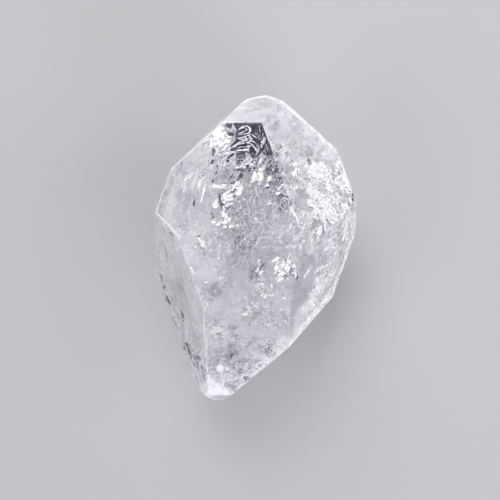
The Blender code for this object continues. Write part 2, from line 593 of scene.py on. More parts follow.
def noise_in(tree, scale, detail, roughness=0.5):
    """Noise over the piece's own places, with this many waves in a metre."""
    place = tree.nodes.new("ShaderNodeTexCoord")
    noise = tree.nodes.new("ShaderNodeTexNoise")
    noise.inputs["Scale"].default_value = scale
    noise.inputs["Detail"].default_value = detail
    noise.inputs["Roughness"].default_value = roughness
    tree.links.new(place.outputs["Object"], noise.inputs["Vector"])
    return noise.outputs["Fac"]


def skin_material():
    """Quartz that passes all light but what frost and painted edge light turn back, rough there or matt.

    Where the skin is mottled, one noise whitens it past a level and another darkens it.
    """
    material, shader = new_material("clear_quartz")
    tree = material.node_tree
    shader.inputs["IOR"].default_value = QUARTZ_IOR

    def attribute(name):
        """The value that the skin's points carry under this name."""
        node = tree.nodes.new("ShaderNodeAttribute")
        node.attribute_name = name
        return node.outputs["Fac"]

    def past_level(size, low, high):
        """Noise of this size in millimetres, stretched so that low gives 0 and high gives 1."""
        level = tree.nodes.new("ShaderNodeMapRange")
        level.inputs["From Min"].default_value = low
        level.inputs["From Max"].default_value = high
        tree.links.new(noise_in(tree, 1 / (size * MM), 5, 0.62), level.inputs["Value"])
        return level.outputs["Result"]

    def sum_of(first, second, third):
        """first x second + third, where each is an output or a number."""
        node = tree.nodes.new("ShaderNodeMath")
        node.operation = "MULTIPLY_ADD"
        for socket, value in zip(node.inputs, (first, second, third)):
            if isinstance(value, float):
                socket.default_value = value
            else:
                tree.links.new(value, socket)
        return node.outputs["Value"]

    mottle = attribute("mottle")
    white = sum_of(mottle, past_level(0.42, 0.50, 0.72), 0.0)
    frost_and_edge_light = sum_of(white, 0.85, attribute("frost_and_edge_light"))
    dark = sum_of(mottle, past_level(0.40, 0.53, 0.38), 0.0)
    # The tint darkens with the painted shade and with the dark mottles
    shade = sum_of(dark, 0.70, attribute("shade"))
    tree.links.new(sum_of(frost_and_edge_light, -1.0, 1.0), shader.inputs["Transmission Weight"])
    tree.links.new(sum_of(frost_and_edge_light, 0.4, attribute("matt")), shader.inputs["Roughness"])
    tint = tree.nodes.new("ShaderNodeMix")
    tint.data_type = "RGBA"
    tint.inputs["A"].default_value = (0.97, 0.965, 0.995, 1)
    tint.inputs["B"].default_value = (0.28, 0.28, 0.33, 1)
    tree.links.new(shade, tint.inputs["Factor"])
    tree.links.new(tint.outputs["Result"], shader.inputs["Base Color"])
    bump = tree.nodes.new("ShaderNodeBump")
    bump.inputs["Strength"].default_value = 0.25
    bump.inputs["Distance"].default_value = 0.02 * MM
    tree.links.new(noise_in(tree, GRAIN_SCALE, 4), bump.inputs["Height"])
    tree.links.new(bump.outputs["Normal"], shader.inputs["Normal"])
    return material


SKIN_STEP = 0.21

# What the skin's points carry for its material
LOOKS = {"frost_and_edge_light": frosting_and_edge_light, "matt": mattness, "shade": shading, "mottle": mottling}
skin_points = []
skin_faces = []
skin_looks = {name: [] for name in LOOKS}
count = 0
for number, (direction, reach) in enumerate(zip(DIRECTIONS, REACHES)):
    points, quads = face_patch(direction, reach, SKIN_STEP)
    skin_points.append(worn_surface(points) + growth_relief(points, number)[:, None] * direction)
    skin_faces.append(quads_as_triangles(quads) + count)
    for name, look_of in LOOKS.items():
        skin_looks[name].append(look_of(points, number))
    count += len(points)
skin_points, skin_faces, first_uses = weld(np.concatenate(skin_points), np.concatenate(skin_faces))
skin = mesh_piece("crystal_skin", skin_points, skin_faces, skin_material())
for name, values in skin_looks.items():
    look = skin.data.attributes.new(name, "FLOAT", "POINT")
    look.data.foreach_set("value", np.concatenate(values)[first_uses].astype(np.float32))
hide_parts("quartz_crystal")
# Clear quartz casts no hard shadow on what is sealed in it
skin.visible_shadow = False


# Milk
# Tiny flat hollows and flakes, too small to see one by one, that whiten clear quartz. Bigger ones
# lie deep in the crystal and finer ones all through it, thin round the window by the point.


def spread_inside(count, seed, keep_away, density):
    """Random points at least keep_away inside the skin, kept where a draw is under density."""
    rng = np.random.default_rng(seed)
    low, high = CORNERS.min(axis=0), CORNERS.max(axis=0)
    found = np.zeros((0, 3))
    while len(found) < count:
        draw = rng.uniform(low, high, (count * 2, 3))
        draw = draw[slack(draw).min(axis=1) > keep_away]
        draw = draw[rng.uniform(size=len(draw)) < density(draw)]
        found = np.concatenate([found, draw])
    return found[:count]


def unit(rows):
    """Each row divided by its length."""
    return rows / np.linalg.norm(rows, axis=-1, keepdims=True)


def flakes(centres, reach, thinness, facing, spread, seed):
    """Flat four-sided flakes: two tips of one axis lifted, the two of the other let down.

    Each is turned to facing plus a random push of length spread, and by chance about that.
    """
    rng = np.random.default_rng(seed)
    third = unit(facing + spread * rng.normal(size=(len(centres), 3)))
    first = unit(np.cross(third, rng.normal(size=(len(centres), 3))))
    second = np.cross(third, first)
    stretch = rng.uniform(0.7, 1.6, len(centres))
    first = first * (reach * stretch)[:, None]
    second = second * (reach / stretch)[:, None]
    third = third * (reach * thinness)[:, None]
    tips = np.stack([first + third, third - first, second - third, -second - third], axis=1)
    points = (centres[:, None, :] + tips).reshape(-1, 3)
    sides = np.array([(0, 2, 1), (0, 1, 3), (3, 2, 0), (2, 3, 1)])
    faces = (np.arange(len(centres))[:, None, None] * 4 + sides).reshape(-1, 3)
    return points, faces


# Middle and reach of the clear pocket across, along and above the crystal's middle
TO_POCKET = np.array([-0.45, 11.0, 6.6])
POCKET_REACH = np.array([2.5, 2.1, 1.3])


def window_air(points):
    """How near points are to the clear pocket under the window, from 0 to 1."""
    pocket = (points - TO_POCKET) / POCKET_REACH
    return np.exp(-(pocket**4).sum(axis=1))


def deep_milk(points):
    """Density of the deep flakes: clouds of two sizes, denser low down, none under the window."""
    cloud = 0.45 + 0.25 * waves(points, 5.0, 5) + 0.15 * waves(points, 1.8, 6)
    lower = np.clip(0.75 - points[:, 2] / 9, 0, 1)
    return np.clip(cloud, 0.05, 1) * lower * (1 - window_air(points))


def fine_milk(points):
    """Density of the fine flakes: clouds of two sizes, none under the window."""
    cloud = 0.35 + 0.22 * waves(points, 4.0, 7) + 0.25 * waves(points, 1.1, 8)
    return np.clip(cloud, 0.04, 1) * (1 - window_air(points))


def inner_material(name, dark, pale, roughness, metallic, size):
    """Between two tints by noise of this size in millimetres, which also moves the roughness."""
    material, shader = new_material(name)
    tree = material.node_tree
    shader.inputs["Metallic"].default_value = metallic
    noise = noise_in(tree, 1 / (size * MM), 3)
    tint = tree.nodes.new("ShaderNodeValToRGB")
    tint.color_ramp.elements[0].position = 0.38
    tint.color_ramp.elements[1].position = 0.62
    tint.color_ramp.elements[0].color = (*dark, 1)
    tint.color_ramp.elements[1].color = (*pale, 1)
    tree.links.new(noise, tint.inputs["Fac"])
    tree.links.new(tint.outputs["Color"], shader.inputs["Base Color"])
    rough = tree.nodes.new("ShaderNodeMapRange")
    rough.inputs["To Min"].default_value = roughness * 0.6
    rough.inputs["To Max"].default_value = roughness * 1.4
    tree.links.new(noise, rough.inputs["Value"])
    tree.links.new(rough.outputs["Result"], shader.inputs["Roughness"])
    return material


# Name, number of flakes, least and greatest reach, depth kept under the skin, and where they lie
MILK = (
    ("deep_milk", 20000, 0.05, 0.11, 1.0, deep_milk),
    ("fine_milk_1", 40000, 0.020, 0.050, 0.45, fine_milk),
    ("fine_milk_2", 40000, 0.020, 0.050, 0.70, fine_milk),
)
milk_white = inner_material("milk_white", (0.90, 0.89, 0.93), (0.97, 0.97, 0.98), 0.55, 0.0, 2.0)
for order, (name, count, least, greatest, away, density) in enumerate(MILK):
    centres = spread_inside(count, 11 + order, away, density)
    reach = np.random.default_rng(21 + order).uniform(least, greatest, count)
    points, faces = flakes(centres, reach, 0.7, np.zeros(3), 1.0, 31 + order)
    mesh_piece(name, points, faces, milk_white)


# Veils
# Healed cracks: curved films of tiny hollows that hang in the crystal. Edge on they are fine pale
# lines, and face on they are thin clouds.

VEILS = 46
FLAKES_IN_A_VEIL = 700

rng = np.random.default_rng(400)
veil_centres = spread_inside(VEILS, 401, 1.2, fine_milk)
veil_facing = unit(rng.normal(size=(VEILS, 3)) * (1, 1, 0.6))
veil_reach = rng.uniform(0.8, 2.6, (VEILS, 2))
veil_bend = rng.uniform(-0.5, 0.5, VEILS)
first = unit(np.cross(veil_facing, rng.normal(size=(VEILS, 3))))
second = np.cross(veil_facing, first)
angle = rng.uniform(0, 2 * np.pi, (VEILS, FLAKES_IN_A_VEIL))
share = rng.uniform(0, 1, (VEILS, FLAKES_IN_A_VEIL)) ** 0.6
veil_points = (
    veil_centres[:, None]
    + (share * np.cos(angle) * veil_reach[:, :1])[..., None] * first[:, None]
    + (share * np.sin(angle) * veil_reach[:, 1:])[..., None] * second[:, None]
    + (veil_bend[:, None] * share**2 * (1 + np.cos(angle)))[..., None] * veil_facing[:, None]
).reshape(-1, 3)
veil_turns = np.repeat(veil_facing, FLAKES_IN_A_VEIL, axis=0)
gathered = waves(veil_points, 0.5, 402) > -0.2
inside = slack(veil_points).min(axis=1) > 0.15
kept = gathered & inside & (window_air(veil_points) < 0.3)
veil_points, veil_turns = veil_points[kept], veil_turns[kept]
reach = rng.uniform(0.02, 0.055, len(veil_points))
points, faces = flakes(veil_points, reach, 0.2, veil_turns, 0.25, 403)
mesh_piece("healed_veils", points, faces, milk_white)


# Window shade
# Just under the flat upper face, by the point, lies a clear pocket. Smooth near-black plates
# under it, and under a few cells beside it, are painted shade where the clear quartz shows dark.

# Faces that look up, which the camera's sight lines enter by
RISING = np.flatnonzero(DIRECTIONS[:, 2] > 0.05)


def entry(across, along):
    """Where the camera's sight line through a place on the waist meets the skin, and which face.

    Places are in millimetres in the frame. The line enters the last of the upward planes.
    """
    places = np.broadcast_arrays(across - TO_FRAME[0], along - TO_FRAME[1], 0.0)
    sight = np.stack(places, axis=-1) - EYE
    share = (REACHES[RISING] - EYE @ DIRECTIONS[RISING].T) / (sight @ DIRECTIONS[RISING].T)
    return EYE + share.max(axis=-1)[..., None] * sight, RISING[share.argmax(axis=-1)]


def seen_at(across, along, depth):
    """The point seen at this place on the waist, moved straight down to depth under the skin."""
    return entry(across, along)[0] - np.asarray(depth, float)[..., None] * UP


def grid(low, high, step):
    """Places every step from low up to high, across and along, as two arrays."""
    spans = [np.arange(start, end, step) for start, end in zip(low, high)]
    return np.meshgrid(*spans, indexing="ij")


def grid_waves(across, along, size, seed):
    """The same random waves over the places of a grid."""
    places = np.stack([across, along, 0 * along], axis=-1)
    return waves(places.reshape(-1, 3), size, seed).reshape(across.shape)


def lens_sheet(middle_surface, normal, opening, half_thickness):
    """A closed thin body over a grid: its middle surface moved both ways along the normal.

    The thickness follows the square root of opening. Where opening is not positive, and all
    round the grid, the two sides meet, and past that the body ends.
    """
    opening = opening.copy()
    opening[[0, -1]] = -1
    opening[:, [0, -1]] = -1
    part = (half_thickness * np.sqrt(np.clip(opening, 0, 1)))[..., None] * normal
    spot = np.arange(opening.size).reshape(opening.shape)
    quads = np.stack([spot[:-1, :-1], spot[1:, :-1], spot[1:, 1:], spot[:-1, 1:]], axis=-1)
    faces = quads_as_triangles(quads.reshape(-1, 4))
    faces = faces[(opening.ravel() > 0)[faces].any(axis=1)]
    upper = (middle_surface + part).reshape(-1, 3)
    lower = (middle_surface - part).reshape(-1, 3)
    return np.concatenate([upper, lower]), np.concatenate([faces, faces[:, ::-1] + opening.size])


PLATE_STEP = 0.05
# Half thickness of a plate or a cracked sheet
SHEET_HALF = 0.012


def plate(outline, rim_depth, depth, ragged, seed):
    """A thin plate in this outline, whose rim wanders by ragged times waves.

    It lies rim_depth under the skin at its rim and slopes to depth, half a millimetre inside. A
    ragged plate also has holes, where waves pass a level.
    """
    low, high = np.min(outline, axis=0) - ragged - 0.1, np.max(outline, axis=0) + ragged + 0.1
    across, along = grid(low, high, PLATE_STEP)
    torn = grid_waves(across, along, 0.5, seed)
    inside = inside_outline(across, along, outline) + ragged * torn
    inner = np.clip(inside / 0.5, 0, 1)
    if ragged > 0.05:
        holes = grid_waves(across, along, 0.28, seed + 40) + 0.6 * grid_waves(across, along, 0.7, seed + 41)
        inside = np.minimum(inside, 0.6 * (0.9 - holes))
    hollow = rim_depth + (depth - rim_depth + 0.02 * torn) * inner
    return lens_sheet(seen_at(across, along, hollow), UP, inside / 0.1, SHEET_HALF)


def joined(shapes):
    """Several (points, faces) as one."""
    offset = np.cumsum([0] + [len(points) for points, faces in shapes])
    return (
        np.concatenate([points for points, faces in shapes]),
        np.concatenate([faces + start for (points, faces), start in zip(shapes, offset)]),
    )


def plates(rows, first_seed):
    """The plates of a table as one shape."""
    return joined([
        plate(outline, rim_depth, depth, ragged, first_seed + order)
        for order, (rim_depth, depth, ragged, outline) in enumerate(rows)
    ])


def kept_inside(points, margin):
    """Moves points that come within margin of a face back along that face's direction.

    It does so three times, because a step back from one face can near another.
    """
    for _ in range(3):
        for direction, reach in zip(DIRECTIONS, REACHES):
            over = np.clip(points @ direction - (reach - margin), 0, None)
            points = points - over[:, None] * direction
    return points


def inner_piece(name, shape, material, margin=None):
    """A piece from one shape, welded, and where there is a margin, kept that far inside."""
    points, faces = shape
    if margin is not None:
        points = kept_inside(points, margin)
    points, faces = weld(points, faces)[:2]
    mesh_piece(name, points, faces, material)


# Each plate: depth of its rim, its own depth, how ragged it is, and its outline in the frame
WINDOW_SHADE_PLATES = (
    (0.10, 0.50, 0.015, (
        (-2.35, 12.70), (0.48, 12.77), (1.02, 11.40), (1.50, 10.10), (1.68, 9.60), (1.10, 9.45),
        (0.55, 9.80), (0.15, 9.35), (-0.35, 9.12), (-0.60, 9.65), (-1.20, 9.85), (-2.00, 9.92),
        (-2.60, 9.95), (-2.50, 10.60), (-2.10, 10.95), (-2.00, 11.60), (-1.95, 12.05))),
    (0.20, 0.32, 0.010, ((-2.00, 9.76), (-1.15, 9.80), (-1.12, 9.24), (-2.00, 9.18))),
    (0.15, 0.20, 0.010, ((-2.85, 11.76), (-2.30, 11.74), (-2.28, 11.46), (-2.75, 11.45))),
    (0.15, 0.25, 0.040, ((-4.28, 10.12), (-4.06, 10.02), (-4.12, 9.66), (-4.30, 9.44), (-4.46, 9.60))),
    (0.15, 0.25, 0.040, ((-4.66, 8.66), (-4.42, 9.00), (-4.24, 8.94), (-4.38, 8.62), (-4.62, 8.50))),
    (0.05, 0.07, 0.030, ((-3.05, 12.60), (-2.45, 12.66), (-2.52, 12.25), (-2.80, 12.30))),
    (0.15, 0.22, 0.010, ((-2.92, 9.15), (-2.75, 9.16), (-2.22, 9.60), (-2.40, 9.66), (-2.72, 9.44))),
    (0.30, 0.45, 0.020, ((-1.78, 7.35), (-1.62, 7.70), (-1.38, 7.72), (-1.32, 7.32), (-1.92, 7.02))),
    (0.20, 0.30, 0.015, ((-2.05, 8.95), (-1.75, 9.05), (-1.30, 8.95), (-1.70, 8.80))),
    (0.20, 0.30, 0.015, ((-3.05, 8.95), (-2.70, 9.00), (-2.85, 8.70))),
    (0.20, 0.30, 0.015, ((-1.00, 8.50), (-0.80, 8.55), (-0.82, 8.25), (-1.02, 8.25))),
)
# Near-black painted shade, for these plates and for the slits
dark_painted_shade = inner_material("dark_painted_shade", (0.014, 0.015, 0.026), (0.068, 0.070, 0.096), 0.25, 0.0, 0.40)
inner_piece("window_painted_shade", plates(WINDOW_SHADE_PLATES, 500), dark_painted_shade)


# Grey shades
# Grey plates further down, painted shade where the crystal shows darker. They show as smoky
# patches with soft or torn edges, beside the window and under the lower faces.

GREY_SHADE_PLATES = (
    (0.30, 0.50, 0.05, (
        (-4.15, 6.75), (-3.35, 8.30), (-2.95, 8.10), (-2.55, 7.35), (-2.95, 6.65), (-3.60, 6.85))),
    (0.10, 0.20, 0.02, ((-3.40, 12.58), (-2.42, 12.66), (-2.55, 12.02), (-2.95, 11.98))),
    (0.20, 0.35, 0.04, ((-2.50, 11.90), (-2.02, 11.95), (-2.02, 11.15), (-2.50, 10.95))),
    (1.20, 1.60, 0.22, (
        (0.90, 9.60), (1.65, 9.70), (2.30, 8.00), (3.00, 6.00), (3.40, 4.20), (2.60, 3.60), (1.90, 5.20),
        (1.30, 6.60), (0.95, 7.70), (0.95, 8.80))),
    (1.00, 1.30, 0.20, (
        (-1.90, 8.90), (0.20, 9.10), (0.90, 8.60), (0.30, 8.30), (-0.60, 7.90), (-1.70, 7.80))),
    (0.30, 0.45, 0.10, (
        (-0.50, -3.00), (0.10, -3.10), (1.00, -1.60), (0.90, -1.10), (0.20, -1.40), (-0.60, -2.20))),
    (1.00, 1.40, 0.25, (
        (-2.10, 1.40), (-1.40, 1.30), (-1.30, 0.30), (-1.50, -0.80), (-2.10, -0.60), (-2.20, 0.50))),
    (0.80, 1.20, 0.20, ((-0.75, 1.20), (-0.10, 1.00), (-0.10, 0.10), (-0.65, 0.20))),
    (0.80, 1.20, 0.20, ((-4.90, -3.40), (-4.00, -3.40), (-3.60, -4.30), (-4.40, -4.80), (-5.00, -4.30))),
)
grey_painted_shade = inner_material("grey_painted_shade", (0.20, 0.20, 0.24), (0.42, 0.42, 0.47), 0.35, 0.0, 0.6)
inner_piece("grey_shades", plates(GREY_SHADE_PLATES, 540), grey_painted_shade)


# Window threads
# Bright hollow threads that wander over the painted dark shade like spilled wire, and thin
# lines of the same kind elsewhere. They are closed tubes that end in points.


def through(places, step):
    """A smooth line through the places: cubic pieces whose slope follows the places each side."""
    places = np.array(places, float)
    ends = np.concatenate([places[:1], places, places[-1:]])
    pull = (ends[2:] - ends[:-2]) / 2
    line = []
    for start, end, leave, arrive in zip(places[:-1], places[1:], pull[:-1], pull[1:]):
        count = max(2, math.ceil(np.linalg.norm(end - start) / step))
        t = np.arange(count)[:, None] / count
        line.append(
            start * (1 - t) ** 2 * (1 + 2 * t) + end * t**2 * (3 - 2 * t)
            + leave * t * (1 - t) ** 2 - arrive * t**2 * (1 - t)
        )
    return np.concatenate([*line, places[-1:]])


def swept(paths, thickness, sides, facing=UP, flatness=1.0):
    """Closed tubes along paths (tubes x steps x 3), of this radius at each step, 0 at both ends.

    Across facing they have their full radius, and along it that radius times flatness.
    """
    forward = unit(np.gradient(paths, axis=1))
    side = unit(np.cross(forward, facing))
    lift = flatness * np.cross(side, forward)
    angle = (2 * np.pi * np.arange(sides) / sides)[:, None]
    ring = np.cos(angle) * side[:, :, None] + np.sin(angle) * lift[:, :, None]
    points = paths[:, :, None] + thickness[:, :, None, None] * ring
    spot = np.arange(points[..., 0].size).reshape(points.shape[:3])
    beside = np.roll(spot, -1, axis=2)
    quads = np.stack([spot[:, :-1], spot[:, 1:], beside[:, 1:], beside[:, :-1]], axis=-1).reshape(-1, 4)
    return points.reshape(-1, 3), quads_as_triangles(quads)


THREAD_STEP = 0.06
# Share of its radius that a thread has where waves neither swell nor thin it
THREAD_FULLNESS = 0.8


def thread(places, depth, radius, seed):
    """A tube seen along the places, depth under the skin, whose radius follows waves.

    At both ends the radius runs out as the square root of the distance to the end.
    """
    line = through(places, THREAD_STEP)
    path = seen_at(line[:, 0], line[:, 1], depth)
    share = np.linspace(0, 1, len(path))
    swell = 1 + 0.22 * waves(path, 0.5, seed)
    ends = np.clip(np.minimum(share, 1 - share) * len(path) / 3, 0, 1) ** 0.5
    return swept(path[None], (THREAD_FULLNESS * radius * swell * ends)[None], 8)


# Each thread: depth, radius, and the places that it runs through
THREADS = (
    (0.28, 0.100, ((-1.80, 11.98), (-1.55, 12.22), (-1.25, 12.38), (-0.92, 12.42), (-0.68, 12.22),
                   (-0.62, 11.95), (-0.76, 11.72), (-0.90, 11.55))),
    (0.26, 0.060, ((-1.95, 11.72), (-1.62, 11.74), (-1.25, 11.84), (-0.98, 12.02), (-0.80, 12.12))),
    (0.28, 0.055, ((-1.90, 11.50), (-1.55, 11.60), (-1.15, 11.62), (-0.85, 11.75))),
    (0.24, 0.065, ((-2.15, 11.15), (-1.65, 11.22), (-1.25, 11.32), (-0.95, 11.45))),
    (0.30, 0.045, ((-0.80, 11.62), (-0.45, 11.55), (-0.15, 11.35), (0.10, 11.20))),
    (0.26, 0.080, ((-0.90, 11.50), (-0.65, 11.38), (-0.55, 11.10), (-0.68, 10.85), (-0.95, 10.70))),
    (0.22, 0.110, ((-1.10, 11.38), (-1.00, 11.10), (-1.05, 10.85))),
    (0.24, 0.060, ((-2.45, 10.25), (-2.05, 10.58), (-1.62, 10.82), (-1.20, 10.95), (-0.85, 10.92))),
    (0.22, 0.075, ((-2.80, 9.95), (-2.35, 10.32), (-1.95, 10.52), (-1.50, 10.68), (-1.10, 10.74))),
    (0.20, 0.095, ((-3.70, 9.45), (-3.30, 9.62), (-2.80, 9.76), (-2.05, 9.94), (-1.30, 10.00),
                   (-0.70, 10.10))),
    (0.20, 0.050, ((-3.05, 9.55), (-2.50, 9.75), (-2.00, 9.86))),
    (0.26, 0.070, ((-1.00, 10.78), (-0.60, 10.66), (-0.32, 10.42), (-0.05, 10.12), (0.10, 9.80),
                   (-0.02, 9.50), (-0.30, 9.22), (-0.62, 8.95), (-0.95, 8.70))),
    (0.24, 0.065, ((-0.88, 10.52), (-0.76, 10.15), (-0.84, 9.88), (-1.10, 9.74))),
    (0.24, 0.045, ((-0.42, 10.60), (-0.18, 10.20), (-0.08, 9.90))),
    (0.24, 0.050, ((-1.95, 9.08), (-1.60, 8.88), (-1.05, 9.02), (-0.60, 9.42), (-0.25, 9.70))),
    (0.24, 0.055, ((-2.95, 9.60), (-2.65, 9.05), (-2.35, 8.72), (-2.10, 8.35))),
    (0.20, 0.055, ((-3.95, 9.95), (-3.85, 9.50), (-3.92, 9.00), (-3.85, 8.50))),
    (0.22, 0.055, ((-4.70, 8.55), (-4.35, 8.85), (-4.05, 9.25), (-3.85, 9.50), (-3.40, 9.62))),
    (0.22, 0.050, ((-4.30, 9.45), (-3.90, 9.55), (-3.50, 9.35))),
    (0.22, 0.095, ((0.80, 11.38), (0.72, 11.02), (0.58, 10.62), (0.50, 10.20))),
    (0.22, 0.050, ((0.92, 11.30), (0.88, 10.95), (0.70, 10.60))),
    (0.30, 0.040, ((0.35, 12.60), (0.30, 12.25), (0.42, 11.80))),
    (0.30, 0.035, ((1.10, 10.95), (1.05, 10.40), (1.20, 9.90))),
    (0.15, 0.045, ((-2.42, 12.60), (-2.20, 12.20), (-2.08, 11.85))),
    (0.26, 0.045, ((-1.70, 12.10), (-1.42, 12.20), (-1.12, 12.22), (-0.90, 12.10))),
    (0.24, 0.050, ((-1.75, 11.02), (-1.40, 11.12), (-1.05, 11.06), (-0.62, 11.22), (-0.30, 11.05))),
    (0.22, 0.045, ((-0.55, 10.95), (-0.20, 10.80), (0.12, 10.50), (0.26, 10.10), (0.14, 9.70))),
    (0.22, 0.040, ((-1.90, 10.20), (-1.45, 10.34), (-1.10, 10.30), (-0.80, 10.42), (-0.45, 10.36))),
    (0.22, 0.045, ((-3.40, 9.10), (-3.05, 9.30), (-2.70, 9.25), (-2.40, 9.42))),
    (0.22, 0.040, ((-3.60, 8.70), (-3.30, 8.95), (-2.95, 8.80), (-2.62, 8.52), (-2.35, 8.20))),
    (0.26, 0.035, ((0.62, 12.05), (0.70, 11.70), (0.60, 11.45))),
    (0.10, 0.055, ((-5.80, 8.10), (-6.05, 7.35), (-6.28, 6.70), (-6.42, 6.05))),
    (0.10, 0.065, ((-5.08, 6.60), (-5.22, 5.70), (-5.38, 5.15), (-5.55, 4.72))),
    (0.20, 0.045, ((2.42, 4.50), (2.52, 5.02), (2.85, 5.22), (3.18, 4.95), (3.26, 4.40))),
    (0.20, 0.035, ((2.45, 4.90), (2.65, 4.60), (2.88, 4.28))),
    (0.20, 0.035, ((2.70, 5.02), (2.90, 4.72), (3.08, 4.45))),
    (0.20, 0.035, ((2.38, 4.45), (2.55, 4.22), (2.72, 4.00))),
    (0.15, 0.030, ((3.25, 1.15), (3.80, 1.70), (4.45, 2.22))),
    (0.15, 0.030, ((3.10, 1.30), (3.60, 1.82), (4.20, 2.28))),
)
thread_silver = inner_material("thread_silver", (0.52, 0.52, 0.57), (0.92, 0.92, 0.94), 0.3, 0.15, 0.25)
threads = [
    thread(places, depth, radius, 600 + order)
    for order, (depth, radius, places) in enumerate(THREADS)
]
inner_piece("window_threads", joined(threads), thread_silver)


# Silver cracks
# Old breaks inside the crystal, thin sheets of air that gleam like crumpled foil where they face
# a lamp and go dark where they don't. Each is a crumpled sheet with a ragged rim and holes.


def bent(outside, face):
    """Direction inside the quartz of light that leaves a face this way, by the law of sines."""
    aside = (outside - (outside @ face) * face) / QUARTZ_IOR
    return aside + math.sqrt(1 - aside @ aside) * face


def gleaming(face):
    """The facing that sends the light of the lamp nearest a face up through it to the camera."""
    lamps = unit(np.array([place for name, place, *rest in LAMPS]) - (0, 0, WAIST_HEIGHT))
    return unit(bent(UP, face) + bent(lamps[np.argmax(lamps @ face)], face))


# For each face, the way that a sheet under it has to face to gleam
GLEAMS = np.array([gleaming(face) for face in DIRECTIONS])


def crumpled_sheet(middle, facing, reach, turn, crumple, holes, stretch, seed):
    """A sheet of two half lengths in reach, turned by degrees, over a grid of its own plane.

    It opens inside an ellipse with a wavy rim, less where waves cut holes, and it rises by
    waves of the crumple's size and height, drawn out along its length by stretch.
    """
    size, height = crumple
    reach = np.array(reach)
    step = min(0.07, size / 6, reach.min() / 3)
    u, v = grid(-1.4 * reach, 1.4 * reach + step, step)
    heading = np.array([math.cos(math.radians(turn)), math.sin(math.radians(turn)), 0.0])
    normal = unit(facing)
    first = unit(heading - (heading @ normal) * normal)
    second = np.cross(normal, first)
    drawn = u / stretch
    rise = height * (grid_waves(drawn, v, size, seed) + 0.4 * grid_waves(drawn, v, size * 0.45, seed + 1))
    rim = 0.38 * grid_waves(drawn, v, reach.min() * 1.1 + 0.1, seed + 2)
    rim = rim + 0.22 * grid_waves(drawn, v, reach.min() * 0.5 + 0.06, seed + 4)
    gaps = holes * np.clip(grid_waves(drawn, v, size * 1.2, seed + 3) - 0.3, 0, None)
    opening = 1 - (u / reach[0]) ** 2 - (v / reach[1]) ** 2 + (rim - gaps)
    surface = middle + u[..., None] * first + v[..., None] * second + rise[..., None] * normal
    return lens_sheet(surface, normal, 3 * opening, SHEET_HALF)


# Depth kept between the skin and what is sealed in
UNDER_SKIN = 0.08

